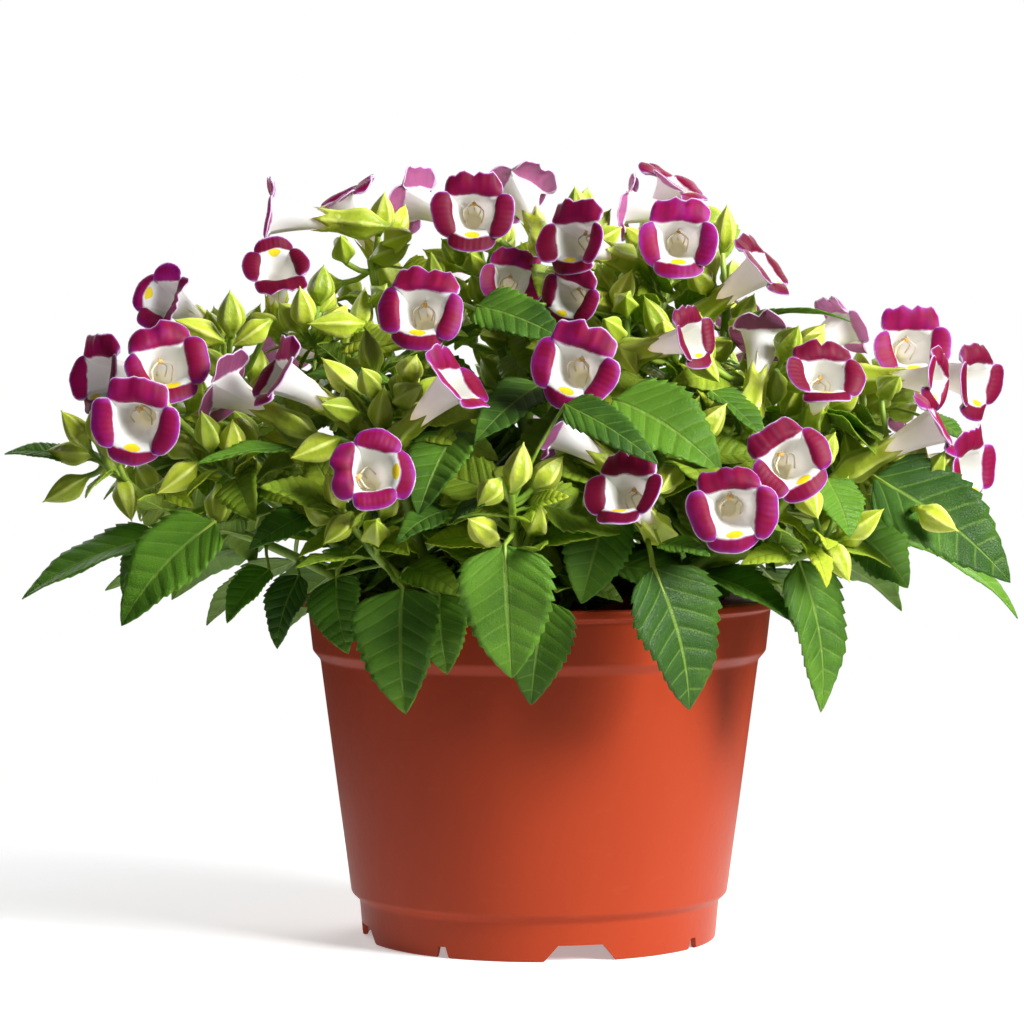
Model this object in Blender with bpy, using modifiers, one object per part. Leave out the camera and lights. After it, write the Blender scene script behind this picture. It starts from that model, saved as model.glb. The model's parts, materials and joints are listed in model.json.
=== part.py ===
"""Potted torenia: a bushy wishbone flower in full bloom, in its terracotta-coloured nursery pot.

Metres, +Z up. The origin is on the surface that the pot stands on, below the middle of the
whole plant, so the pot stands a little to the right of it. The front looks along -Y.
The plan below holds hand-chosen places in millimetres; every leaf, bud and bloom is then bent
clear of what grows beside it.
"""

import math
import random

import bpy
import bmesh
from mathutils import Matrix, Vector
from mathutils.bvhtree import BVHTree

MM = 0.001

# Pot: a 14 cm nursery pot, with its axis to the right of the plant's middle
POT_AXIS = Vector((8.0, 0.0, 0.0)) * MM
POT_STEPS = 28
POT_OUTSIDE = [(70.0, 99.6), (70.0, 97.2), (67.8, 96.6), (66.4, 84.2),
               (64.2, 81.6), (55.2, 13.4), (52.8, 11.2), (51.8, 0.0)]
POT_INSIDE = [(51.2, 7.6), (53.8, 14.2), (62.7, 82.2), (64.9, 84.8), (66.3, 97.0),
              (68.4, 100.0)]
FOOT_INSIDE = 50.2
FLOOR_BOTTOM = 6.0
FLOOR_TOP = 7.6
NOTCH_TURN = 12.6
NOTCH_BIG = (21.0, 13.0, 4.7)
NOTCH_SMALL = (4.4, 2.6, 3.2)
NOTCH_DEPTH = 8.0
DRAIN_HOLES = 4
DRAIN_RADIUS = 4.5
DRAIN_SIDES = 6
DRAIN_PLACE = 34.0

# Soil: a peat plug that fills the pot to below its rim, clear of the wall
SOIL_STEPS = 16
SOIL_TOP = [(0.0, 88.0), (26.0, 87.6), (47.0, 86.2), (61.4, 84.0)]
SOIL_SIDE = [(61.5, 81.0), (50.0, 8.2), (0.0, 8.2)]
SOIL_LUMP = 1.1
SOIL_LUMP_RING = (5.0, 55.0)
HOLE_RADIUS = 3.1
HOLE_SIDES = 5
HOLE_BOTTOM = 70.0
HOLE_TOP = 96.0
STEM_FOOT = 72.0
STEM_UPRIGHT_TO = 90.0

# Flower: a funnel of four lobes, the upper lip notched
TUBE_LENGTH = 19.0
TUBE_RADIUS = 2.1
MOUTH_RADIUS = 6.6
FACE_FROM_BASE = 20.0
PETAL_THICKNESS = 0.7
LOBE_EDGE = [(-42, 6.1), (0, 5.3), (42, 6.1), (60, 2.4), (75, 5.7), (100, 6.4), (126, 5.7),
             (141, 2.4), (155, 5.8), (180, 6.5), (205, 5.8), (219, 2.4), (234, 5.7), (260, 6.4),
             (285, 5.7), (300, 2.4)]
MOUTH_ANGLES = [0, 60, 100, 141, 180, 219, 260, 300]
CALYX_LENGTH = 15.0
CALYX_RADII = (1.1, 4.1, 2.9)
CALYX_GAP = 0.9
PEDICEL_RADIUS = 0.9
SHORTEST_STALK = 5.0
BUD_RADII = (0.9, 1.0, 3.6, 0.35)

# Leaf: a pointed, toothed blade, keeled along its midrib
BLADE_THICKNESS = 0.7
STALK_THICKNESS = 1.3
STALK_HALF_WIDTH = 0.85
KEEL = 0.16
ARCH = 0.07
NOTCH_IN = 0.86
TOOTH_OUT = 1.06
LEAF_LENGTHS = (24.0, 36.0)
FULL_WIDTH_FACTOR = 2.74

STEM_RADII = (2.1, 1.3)
SIDE_STEM_RADII = (1.6, 1.1)
LOWEST_STALK = 96.0
SEED = 14

# Room that is kept between pieces of different owners: a gap, and an enlargement of each sheet
CLEARANCE = 0.8
AMPLE = 0.06
SOIL_ROOM = 1.0
RING_SIDES = 6
RING_AMPLE = 1.1

# Shoots: foot on the soil, way points of the main stem, then the side stems as the share of the
# main stem where each leaves it and its own way points
SHOOTS = {
    "left": ((-30, -14), [(-36, -18, 104), (-58, -26, 124), (-76, -26, 148), (-84, -16, 168)],
             [(0.30, [(-72, -38, 118), (-98, -42, 127), (-116, -38, 140)]),
              (0.52, [(-84, -20, 138), (-96, -12, 149)]),
              (0.45, [(-70, -42, 132), (-82, -47, 138)])]),
    "high_left": ((-10, 4), [(-13, 3, 106), (-25, 0, 140), (-36, -4, 172), (-41, -6, 198)],
                  [(0.62, [(-44, -14, 164), (-58, -24, 174)])]),
    "top": ((10, 8), [(9, 8, 110), (3, 10, 150), (-5, 14, 178), (-8, 14, 196)],
            [(0.68, [(6, 2, 184), (17, -8, 202)])]),
    "front_left": ((-18, -34), [(-22, -38, 104), (-28, -47, 124), (-34, -55, 146), (-36, -57, 156)],
                   [(0.32, [(-36, -60, 113), (-44, -71, 124)])]),
    "front_mid": ((12, -38), [(16, -43, 102), (25, -54, 116), (36, -62, 129), (42, -64, 142)],
                  [(0.22, [(6, -62, 108), (1, -77, 119), (0, -87, 131)])]),
    "high_right": ((22, -6), [(23, -7, 110), (28, -13, 145), (32, -20, 168), (33, -22, 184)],
                   [(0.72, [(41, -8, 178), (47, 0, 193)]),
                    (0.58, [(42, -26, 160), (48, -32, 168)])]),
    "right": ((38, -8), [(43, -10, 108), (54, -15, 140), (60, -18, 165), (62, -14, 187)],
              [(0.50, [(65, -28, 154), (73, -33, 164)]),
               (0.44, [(71, -15, 146), (85, -20, 153)])]),
    "far_right": ((50, 8), [(58, 8, 104), (78, 6, 124), (96, 4, 144), (104, 4, 154)],
                  [(0.36, [(84, -16, 117), (100, -30, 124), (110, -36, 131)])]),
    "front_right": ((36, -34), [(40, -41, 102), (56, -51, 114), (71, -56, 124), (80, -58, 136)],
                    [(0.62, [(80, -54, 114), (87, -56, 119)])]),
    "back_left": ((-18, 28), [(-24, 33, 104), (-42, 38, 130), (-52, 40, 154)],
                  [(0.45, [(-62, 28, 122), (-76, 20, 136)])]),
    "back_mid": ((10, 38), [(10, 42, 104), (7, 46, 132), (4, 42, 162), (2, 36, 176)],
                 [(0.36, [(-10, 56, 120), (-20, 60, 134)]),
                  (0.42, [(24, 56, 124), (34, 56, 132)])]),
    "back_right": ((38, 28), [(43, 32, 104), (56, 36, 130), (62, 36, 154)],
                   [(0.45, [(76, 32, 122), (88, 26, 138)])]),
}

# Blooms: shoot, middle of the face, turn from the front, tilt up, roll clockwise, size
BLOOMS = [
    ("left", (-118, -28, 165), -48, 5, 0, 1.00),
    ("left", (-97, -36, 168), 12, 22, -15, 1.05),
    ("left", (-101, -60, 152), -6, -6, 8, 1.05),
    ("left", (-81, -44, 161), -115, 25, 20, 0.92),
    ("left", (-101, -12, 187), -38, 22, 100, 0.90),
    ("high_left", (-70, -10, 211), -88, 6, 0, 0.95),
    ("high_left", (-50, 8, 217), -75, 58, 20, 0.95),
    ("high_left", (-67, -26, 195), 4, 38, 172, 0.85),
    ("top", (-29, 12, 216), -125, 22, 0, 0.90),
    ("top", (-11, -22, 211), 0, 6, 2, 1.00),
    ("top", (2, 6, 218), -160, 35, -30, 0.95),
    ("high_left", (-25, -62, 183), -4, 16, 6, 1.05),
    ("front_left", (-15, -76, 163), 62, 40, 0, 0.95),
    ("front_left", (-65, -62, 165), -68, 30, 0, 0.95),
    ("front_left", (-38, -86, 139), 4, 18, -88, 1.00),
    ("top", (0, -12, 192), 8, 12, 10, 0.85),
    ("high_right", (17, -40, 203), -35, 12, 0, 0.95),
    ("high_right", (16, -38, 187), -30, 5, 20, 0.80),
    ("high_right", (34, 2, 214), -100, 12, 0, 0.85),
    ("high_right", (48, 6, 221), 60, 58, 0, 0.90),
    ("high_right", (47, -36, 203), -2, 8, 0, 1.00),
    ("right", (72, -28, 196), 66, 36, 0, 0.95),
    ("high_right", (50, -62, 175), 52, 12, -10, 0.80),
    ("high_right", (17, -80, 167), -8, 12, 18, 1.05),
    ("right", (71, -36, 175), 165, 50, 0, 0.90),
    ("right", (87, -54, 165), 6, 34, 0, 0.95),
    ("right", (96, -12, 179), 115, 32, 0, 0.90),
    ("far_right", (116, -8, 173), 12, 14, 0, 1.00),
    ("far_right", (122, -22, 163), 60, -2, 30, 0.80),
    ("far_right", (136, -6, 163), 50, -6, 0, 1.00),
    ("far_right", (120, -32, 151), 80, 28, 0, 0.95),
    ("far_right", (131, -42, 138), 52, -2, -12, 1.00),
    ("front_right", (75, -84, 142), 4, 14, -32, 1.00),
    ("front_right", (59, -94, 129), 0, 2, -6, 1.05),
    ("front_mid", (30, -94, 134), -25, 28, 0, 0.95),
    ("front_mid", (13, -72, 149), -100, 32, 0, 0.80),
    ("back_left", (-98, 36, 152), -118, 14, 0, 0.95),
    ("back_left", (-68, 60, 176), -142, 24, 10, 1.00),
    ("back_left", (-44, 84, 150), -160, 10, 0, 1.05),
    ("back_mid", (-16, 64, 192), -172, 32, -10, 0.95),
    ("back_mid", (8, 98, 158), 176, 6, 5, 1.00),
    ("back_mid", (30, 72, 184), 160, 26, 0, 1.00),
    ("back_mid", (50, 88, 142), 158, 8, 12, 0.95),
    ("back_right", (72, 58, 178), 140, 26, 0, 1.00),
    ("back_right", (94, 66, 150), 128, 10, -8, 1.00),
    ("back_right", (116, 36, 158), 108, 14, 0, 0.95),
]

# Leaves placed by hand: shoot, base of the blade, its tip, its width, and how much the upper
# face leans to the front
LEAVES = [
    ("front_left", (-30, -68, 106), (-29, -74, 72), 26, 0),
    ("front_left", (-49, -52, 108), (-46, -62, 88), 17, 0),
    ("front_left", (-20, -66, 104), (-18, -72, 83), 17, 0),
    ("front_mid", (-2, -88, 119), (0, -84, 83), 26, 0),
    ("front_mid", (9, -72, 103), (5, -77, 75), 20, 0),
    ("front_mid", (38, -84, 113), (49, -82, 74), 30, 0),
    ("front_right", (80, -52, 113), (88, -48, 70), 22, 0.5),
    ("front_mid", (26, -66, 128), (19, -70, 102), 20, 0),
    ("far_right", (103, -48, 136), (142, -48, 108), 28, 1.3),
    ("far_right", (107, -22, 119), (147, -24, 98), 18, 0.3),
    ("far_right", (96, -34, 121), (113, -36, 105), 23, 1.0),
    ("left", (-99, -40, 119), (-138, -44, 102), 17, 0.35),
    ("left", (-82, -62, 124), (-108, -70, 97), 24, 0.9),
    ("left", (-105, -24, 116), (-112, -22, 99), 11, 0.5),
    ("left", (-124, -28, 140), (-145, -26, 143), 10, 0.1),
    ("left", (-68, -46, 110), (-80, -52, 96), 12, 0.6),
    ("left", (-60, -40, 108), (-67, -44, 88), 14, 0.6),
    ("front_mid", (28, -66, 158), (57, -80, 140), 24, 0.5),
    ("front_mid", (14, -80, 156), (40, -90, 142), 12, 0.6),
    ("high_right", (-10, -40, 184), (15, -52, 174), 16, 0.2),
    ("front_left", (8, -60, 162), (-10, -78, 146), 15, 0),
    ("front_left", (-15, -66, 149), (-25, -84, 126), 19, 0),
    ("front_left", (-17, -80, 128), (-31, -92, 121), 11, 0),
    ("front_mid", (-16, -86, 126), (-7, -96, 130), 8, 0),
    ("right", (55, -56, 160), (69, -66, 146), 13, 0),
    ("right", (66, -24, 182), (96, -30, 186), 11, -0.2),
    ("far_right", (119, -16, 161), (131, -22, 156), 10, 0.5),
    ("left", (-60, -56, 144), (-86, -70, 139), 11, 0.1),
    ("high_left", (-30, -42, 162), (-55, -56, 163), 10, 0.1),
    ("left", (-51, -58, 128), (-72, -70, 117), 13, 0.7),
    ("front_mid", (40, -84, 119), (53, -94, 116), 9, 0),
    ("front_right", (87, -58, 136), (93, -66, 120), 16, 0.5),
    ("back_left", (-40, 60, 108), (-44, 72, 74), 25, 0),
    ("back_mid", (-4, 70, 108), (-8, 80, 74), 27, 0),
    ("back_mid", (22, 72, 106), (26, 82, 76), 24, 0),
    ("back_right", (56, 60, 108), (62, 70, 72), 26, 0),
    ("back_left", (-72, 44, 118), (-106, 62, 98), 27, -0.7),
    ("back_right", (86, 48, 116), (120, 62, 96), 28, -0.7),
    ("back_left", (-78, 10, 114), (-120, 8, 100), 24, -0.3),
    ("back_mid", (-2, 66, 140), (-12, 92, 124), 24, 0),
    ("back_mid", (22, 62, 148), (26, 90, 132), 22, 0),
    ("back_left", (-58, 56, 140), (-70, 80, 122), 22, 0),
    ("back_right", (66, 56, 136), (74, 82, 118), 24, 0),
    ("far_right", (86, 18, 112), (118, 26, 96), 26, -0.3),
    ("far_right", (76, 30, 106), (92, 44, 82), 22, -0.3),
    ("left", (-64, 6, 110), (-92, 16, 92), 24, -0.3),
    ("back_left", (-52, 40, 106), (-74, 54, 84), 24, -0.4),
    ("back_mid", (-20, 66, 116), (-34, 88, 98), 24, -0.5),
    ("back_mid", (40, 68, 112), (48, 88, 88), 24, -0.5),
    ("back_left", (-26, 56, 150), (-34, 78, 136), 20, -0.4),
    ("right", (78, 14, 140), (104, 22, 128), 22, -0.2),
]

# Buds placed by hand: shoot, base of the bud, its tip
BUDS = [
    ("left", (-116, -42, 144), (-117, -46, 156)),
    ("left", (-120, -36, 136), (-132, -38, 129)),
    ("left", (-118, -34, 142), (-132, -30, 143)),
    ("left", (-111, -38, 136), (-107, -44, 124)),
    ("left", (-82, -30, 174), (-95, -34, 180)),
    ("left", (-80, -30, 175), (-80, -32, 188)),
    ("left", (-68, -40, 180), (-78, -42, 173)),
    ("high_left", (-59, -28, 177), (-60, -34, 189)),
    ("high_left", (-42, -26, 179), (-57, -34, 179)),
    ("high_left", (-41, -8, 198), (-30, -13, 202)),
    ("high_left", (-39, -4, 205), (-37, -8, 217)),
    ("high_left", (-37, -8, 202), (-29, -19, 205)),
    ("left", (-84, -49, 143), (-86, -56, 154)),
    ("left", (-88, -47, 140), (-98, -55, 132)),
    ("left", (-82, -50, 134), (-82, -55, 122)),
    ("front_left", (-48, -60, 147), (-60, -68, 142)),
    ("front_left", (-44, -56, 149), (-46, -62, 161)),
    ("front_left", (-37, -60, 149), (-35, -69, 161)),
    ("front_left", (-44, -74, 127), (-51, -77, 119)),
    ("front_mid", (-3, -92, 137), (-9, -95, 130)),
    ("front_mid", (0, -90, 133), (3, -92, 146)),
    ("top", (19, -14, 208), (18, -21, 218)),
    ("right", (61, -8, 200), (62, -13, 213)),
    ("high_right", (29, -22, 183), (34, -28, 194)),
    ("high_right", (31, -36, 174), (26, -48, 180)),
    ("high_right", (34, -46, 174), (38, -57, 165)),
    ("right", (53, -52, 171), (61, -63, 163)),
    ("front_mid", (46, -74, 139), (40, -85, 133)),
    ("front_right", (80, -66, 135), (83, -77, 126)),
    ("front_right", (87, -58, 119), (93, -62, 108)),
    ("far_right", (112, -60, 128), (122, -67, 122)),
    ("far_right", (105, -30, 158), (109, -40, 164)),
    ("far_right", (116, -40, 134), (121, -47, 143)),
    ("right", (72, -38, 171), (73, -40, 160)),
    ("high_right", (50, -34, 166), (57, -39, 174)),
    ("top", (-22, -18, 189), (-23, -27, 199)),
    ("high_left", (-48, -10, 197), (-49, -22, 204)),
    ("back_left", (-56, 48, 160), (-60, 56, 171)),
    ("back_left", (-50, 52, 156), (-46, 63, 164)),
    ("back_left", (-82, 26, 140), (-94, 30, 146)),
    ("back_mid", (2, 46, 178), (4, 55, 188)),
    ("back_mid", (-24, 66, 140), (-30, 77, 146)),
    ("back_mid", (38, 62, 138), (44, 74, 134)),
    ("back_right", (62, 44, 160), (64, 53, 170)),
    ("back_right", (68, 44, 152), (80, 52, 158)),
    ("back_right", (94, 30, 142), (107, 34, 144)),
]

# The pair of leaves on every main stem: share of the stem, length and width of the blade
PAIR_PLACE = 0.47
PAIR_LENGTH = 29.0
PAIR_WIDTH = 18.0


def mm(point):
    """A place of the plan, in metres."""
    return Vector(point) * MM


def face_direction(turn, tilt):
    """The way a bloom looks: turn 0 is the front, positive to the right; tilt is upwards."""
    turn, tilt = math.radians(turn), math.radians(tilt)
    flat = math.cos(tilt)
    return Vector((math.sin(turn) * flat, -math.cos(turn) * flat, math.sin(tilt)))


def smooth_path(points, cuts):
    """A Catmull-Rom curve through the way points, with a few points between each two."""
    ends = [points[0] * 2 - points[1]] + list(points) + [points[-1] * 2 - points[-2]]
    path = []
    for a, b, c, d in zip(ends, ends[1:], ends[2:], ends[3:]):
        for step in range(cuts):
            t = step / cuts
            path.append(b + (c - a) * (t / 2) + (a * 2 - b * 5 + c * 4 - d) * (t * t / 2)
                        + (b * 3 - a - c * 3 + d) * (t * t * t / 2))
    path.append(points[-1])
    return path


def along(path, share):
    """The point at this share of a path's number of steps."""
    place = share * (len(path) - 1)
    step = min(int(place), len(path) - 2)
    return path[step].lerp(path[step + 1], place - step)


def tube_shell(points, radii):
    """Rings round a path, just outside a stem: its room in the clearance test."""
    corners, faces = [], []
    side = (points[-1] - points[0]).orthogonal().normalized()
    for i, (point, radius) in enumerate(zip(points, radii)):
        way = (points[min(i + 1, len(points) - 1)] - points[max(i - 1, 0)]).normalized()
        side = (side - way * side.dot(way)).normalized()
        other = way.cross(side)
        for k in range(RING_SIDES):
            angle = 2 * math.pi * k / RING_SIDES
            spoke = side * math.cos(angle) + other * math.sin(angle)
            corners.append(point + spoke * radius * RING_AMPLE)
            if i:
                a = RING_SIDES * (i - 1) + k
                b = RING_SIDES * (i - 1) + (k + 1) % RING_SIDES
                faces += [(a, b, b + RING_SIDES), (a, b + RING_SIDES, a + RING_SIDES)]
    return corners, faces


def blade_sheet(root, base, tip, width, lean):
    """One leaf as a sheet of triangles, from its foot in the stem to its pointed tip."""
    run = tip - base
    length = run.length
    way = run.normalized()
    outward = (base + tip) / 2 - POT_AXIS
    outward.z = 0
    normal = Vector((0, -lean, 0.75)) + outward.normalized() * 0.7
    normal = (normal - way * normal.dot(way)).normalized()
    across = way.cross(normal)
    stalk_across = ((base - root).cross(normal)).normalized() * STALK_HALF_WIDTH * MM
    segments = 2 + sum(length > limit * MM for limit in LEAF_LENGTHS)

    def spot(share, reach):
        """A point of the blade: share of its length, and reach as a part of its half width."""
        half = width / 2 * FULL_WIDTH_FACTOR * share ** 0.55 * (1 - share)
        lift = ARCH * length * 4 * share * (1 - share) + abs(reach) * half * KEEL
        return base + run * share + across * (half * reach) + normal * lift

    points = [root, base - stalk_across, base + stalk_across]
    faces = [(0, 2, 1)]
    left, middle, right = 1, None, 2
    for k in range(segments):
        share = 0.07 + 0.93 * k / segments
        points += [spot(share, -NOTCH_IN), spot(share, NOTCH_IN)]
        new_left, new_right = len(points) - 2, len(points) - 1
        if k == 0:
            faces += [(left, right, new_right), (left, new_right, new_left)]
        else:
            points.append(spot(share - 0.04, 0))
            new_middle = len(points) - 1
            points += [spot(share + 0.02, -TOOTH_OUT), spot(share + 0.02, TOOTH_OUT)]
            tooth_left, tooth_right = len(points) - 2, len(points) - 1
            if middle is None:
                faces.append((left, right, new_middle))
            else:
                faces += [(left, middle, new_middle), (middle, right, new_middle)]
            faces += [(left, new_middle, new_left), (new_middle, right, new_right),
                      (left, new_left, tooth_left), (right, tooth_right, new_right)]
            middle = new_middle
        left, right = new_left, new_right
    points.append(tip)
    end = len(points) - 1
    faces += [(left, middle, end), (middle, right, end)]
    return points, faces


def corolla_sheet(base, way, up, size, spread):
    """One corolla as a sheet: square foot, funnel, and four lobes bent out at the mouth."""
    side = up.cross(way)
    unit = size * MM
    bend = math.radians(spread)

    def ring_point(angle, reach, height):
        angle = math.radians(angle)
        return base + way * height + (up * math.cos(angle) + side * math.sin(angle)) * reach

    points = [ring_point(angle, TUBE_RADIUS * unit, 0) for angle in (0, 100, 180, 260)]
    points += [ring_point(angle, MOUTH_RADIUS * unit, TUBE_LENGTH * unit)
               for angle in MOUTH_ANGLES]
    for angle, length in LOBE_EDGE:
        points.append(ring_point(angle, (MOUTH_RADIUS + length * math.sin(bend)) * unit,
                                 (TUBE_LENGTH + length * math.cos(bend)) * unit))
    faces = [(0, 2, 1), (0, 3, 2)]
    for k in range(4):
        foot, next_foot = k, (k + 1) % 4
        here, middle, after = 4 + 2 * k, 5 + 2 * k, 4 + (2 * k + 2) % 8
        faces += [(foot, middle, here), (foot, next_foot, middle), (next_foot, after, middle)]
    edge = 12
    for k in range(4):
        before, centre, after = 4 + (2 * k - 1) % 8, 4 + 2 * k, 4 + (2 * k + 1) % 8
        tips = [edge + (4 * k - 1) % 16] + [edge + 4 * k + i for i in range(4)]
        faces += [(before, centre, tips[1]), (before, tips[1], tips[0]),
                  (centre, tips[2], tips[1]), (centre, tips[3], tips[2]),
                  (centre, after, tips[3]), (after, tips[4], tips[3])]
    return points, faces


def thick_shell(points, faces, half):
    """Both faces of a sheet, set off by half its thickness, with the sheet between them."""
    normals = [Vector() for _ in points]
    for face in faces:
        a, b, c = (points[i] for i in face)
        normal = (b - a).cross(c - a)
        for i in face:
            normals[i] += normal
    count = len(points)
    shell = list(points)
    for sign in (-1, 1):
        shell += [p + n.normalized() * (half * sign) for p, n in zip(points, normals)]
    return shell, [tuple(i + layer * count for i in face) for layer in range(3) for face in faces]


# What later pieces keep clear of, and the pieces of the plan that found no room
placed = []
left_out = []


def box_of(points):
    """The lowest and highest coordinates of some points."""
    return ([min(p[i] for p in points) for i in range(3)],
            [max(p[i] for p in points) for i in range(3)])


def put(owner, shell):
    """Notes a shape that later ones have to stay clear of."""
    placed.append((owner, BVHTree.FromPolygons(*shell), box_of(shell[0])))


def is_clear(owner, shell):
    """Whether a shape crosses nothing that is already placed, but for its owner's own pieces."""
    tree = BVHTree.FromPolygons(*shell)
    low, high = box_of(shell[0])
    for other, other_tree, (other_low, other_high) in placed:
        apart = any(low[i] > other_high[i] or high[i] < other_low[i] for i in range(3))
        if other != owner and not apart and tree.overlap(other_tree):
            return False
    return True


def tapering(radii, count):
    """Radii from the first to the second of two, in metres."""
    thick, thin = radii
    return [(thick + (thin - thick) * i / (count - 1)) * MM for i in range(count)]


def plan_stems():
    """Main and side stems of every shoot, as paths with their radii."""
    stems = {}
    for shoot, (foot, way_points, sides) in SHOOTS.items():
        start = [mm((*foot, STEM_FOOT)), mm((*foot, STEM_UPRIGHT_TO))]
        main = smooth_path(start + [mm(p) for p in way_points], 2)
        stems[shoot] = [(main, tapering(STEM_RADII, len(main)))]
        for share, side_points in sides:
            path = smooth_path([along(main, share)] + [mm(p) for p in side_points], 1)
            stems[shoot].append((path, tapering(SIDE_STEM_RADII, len(path))))
        for path, radii in stems[shoot]:
            put(shoot, tube_shell(path, radii))
    return stems


def nearest_on_stems(stems, target, drop):
    """The place on a shoot's stems, above the soil, nearest to this far below a target."""
    best = None
    target = target - mm((0, 0, drop))
    for path, _ in stems:
        for i in range(len(path) - 1):
            for step in range(9):
                point = path[i].lerp(path[i + 1], 0.06 + 0.11 * step)
                distance = (point - target).length
                if point.z < LOWEST_STALK * MM or distance < SHORTEST_STALK * MM:
                    continue
                if best is None or distance < best[0]:
                    best = (distance, point)
    return best[1]


def bends():
    """Turns and tilts to try, in order of their size, until a piece is clear."""
    steps = [(turn, tilt) for turn in range(-48, 49, 8) for tilt in range(-40, 41, 8)]
    return sorted(steps, key=lambda step: (abs(step[0]) + abs(step[1]), step))


def turned(point, about, turn, tilt):
    """A point turned about another: first tilted about X, then turned about Z."""
    spin = Matrix.Rotation(math.radians(turn), 3, "Z") @ Matrix.Rotation(math.radians(tilt), 3, "X")
    return about + spin @ (point - about)


def plan_blooms(stems):
    """Every bloom with its calyx and stalk, moved in depth until it is clear of the rest."""
    rng = random.Random(SEED)
    blooms = []
    for number, (shoot, face, turn, tilt, roll, size) in enumerate(BLOOMS):
        way = face_direction(turn, tilt)
        up = (Vector((0, 0, 1)) - way * way.z).normalized()
        side = up.cross(way)
        up = up * math.cos(math.radians(roll)) + side * math.sin(math.radians(roll))
        spread = rng.uniform(58, 88)
        for shift in sorted(range(-30, 31, 2), key=lambda step: (abs(step), step)):
            centre = mm(face) + Vector((0, shift * MM, 0))
            base = centre - way * FACE_FROM_BASE * size * MM
            sheet = corolla_sheet(base, way, up, size, spread)
            ample = corolla_sheet(base, way, up, size * (1 + AMPLE), spread)
            shell = thick_shell(*ample, (PETAL_THICKNESS + CLEARANCE) * MM)
            if not is_clear("", shell):
                continue
            stalk = calyx_on_stalk(shoot, stems[shoot], base - way * CALYX_GAP * MM, -way)
            if stalk:
                break
        else:
            left_out.append(("bloom", number))
            continue
        put("bloom %d" % number, sheet)
        put(shoot, tube_shell(*stalk))
        blooms.append({"shoot": shoot, "base": base, "way": way, "up": up, "size": size,
                       "spread": spread, "stalk": stalk, "sheet": sheet})
    return blooms


def calyx_on_stalk(shoot, stems, front, back_way):
    """The stalk and calyx behind a bloom, or None where they can't be bent clear."""
    narrow, wide, mouth = (radius * MM for radius in CALYX_RADII)
    thin = PEDICEL_RADIUS * MM
    gap = CLEARANCE * MM
    foot = front + back_way * CALYX_LENGTH * MM
    root = nearest_on_stems(stems, foot, 6)
    reach = (foot - root).length
    for swing in sorted(range(-12, 13, 2), key=lambda step: (abs(step), step)):
        for sink in (0.0, 0.3, -0.3, 0.6):
            bend = Vector((0, 0, -sink)) * reach + Vector((swing * MM, 0, 0))
            middle = (root + foot) / 2 + back_way * reach * 0.22 + bend
            points = [root, middle, foot, front + back_way * CALYX_LENGTH * 0.45 * MM, front]
            room = [thin + gap, thin + gap, narrow + gap, wide + gap, mouth]
            if is_clear(shoot, tube_shell(points, room)):
                return points, [thin, thin, narrow, wide, mouth]
    return None


def plan_buds(stems):
    """Every bud on its stalk, turned about its root until it is clear."""
    buds = []
    for number, (shoot, base, tip) in enumerate(BUDS):
        base, tip = mm(base), mm(tip)
        root = nearest_on_stems(stems[shoot], base, 4)
        for turn, tilt in bends():
            foot = turned(base, root, turn, tilt)
            end = turned(tip, root, turn, tilt)
            way = (end - foot).normalized()
            points = [root, foot, foot.lerp(end, 0.42), end]
            radii = [r * MM for r in BUD_RADII]
            shell = tube_shell(points, [r + CLEARANCE * MM for r in radii])
            if is_clear(shoot, shell):
                break
        else:
            left_out.append(("bud", number))
            continue
        put(shoot, tube_shell(points, radii))
        buds.append({"shoot": shoot, "points": points, "radii": radii})
    return buds


def plan_leaves(stems):
    """The leaves placed by hand, then a pair on every main stem, each bent clear."""
    rng = random.Random(SEED + 1)
    wanted = []
    for shoot, base, tip, width, lean in LEAVES:
        base, tip = mm(base), mm(tip)
        root = nearest_on_stems(stems[shoot], base, 4)
        wanted.append((shoot, root, base, tip, width * MM, lean))
    for shoot, paths in stems.items():
        root = along(paths[0][0], PAIR_PLACE)
        start = rng.uniform(0, 180)
        for turn in (start, start + 180):
            base = root + face_direction(turn, 25) * rng.uniform(7, 11) * MM
            grow = rng.uniform(0.85, 1.1) * MM
            tip = base + face_direction(turn, rng.uniform(-30, 5)) * PAIR_LENGTH * grow
            wanted.append((shoot, root, base, tip, PAIR_WIDTH * grow, 0))
    leaves = []
    for number, (shoot, root, base, tip, width, lean) in enumerate(wanted):
        for turn, tilt in bends():
            new_base = turned(base, root, turn, tilt)
            new_tip = turned(tip, root, turn, tilt)
            sheet = blade_sheet(root, new_base, new_tip, width, lean)
            ample = blade_sheet(root, new_base, new_tip + (new_tip - new_base) * AMPLE,
                                width * (1 + 2 * AMPLE), lean)
            shell = thick_shell(*ample, (BLADE_THICKNESS + CLEARANCE) * MM)
            blade_only = (sheet[0][1:], [tuple(i - 1 for i in face) for face in sheet[1][1:]])
            by_hand = number < len(LEAVES)
            if is_clear(shoot, shell) and (by_hand or is_clear("", blade_only)):
                break
        else:
            left_out.append(("leaf", number))
            continue
        put(shoot, sheet)
        leaves.append({"shoot": shoot, "root": root, "base": new_base, "tip": new_tip,
                       "width": width, "lean": lean, "sheet": sheet})
    return leaves


def surface_of_revolution(profile, steps):
    """A turned surface round the pot's axis, for the clearance test."""
    points, faces = [], []
    for radius, height in profile:
        for step in range(steps):
            angle = 2 * math.pi * step / steps
            points.append(POT_AXIS + Vector((radius * math.cos(angle), radius * math.sin(angle),
                                             height)) * MM)
    for row in range(len(profile) - 1):
        for step in range(steps):
            a, b = row * steps + step, row * steps + (step + 1) % steps
            faces += [(a, b, b + steps), (a, b + steps, a + steps)]
    return points, faces


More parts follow.
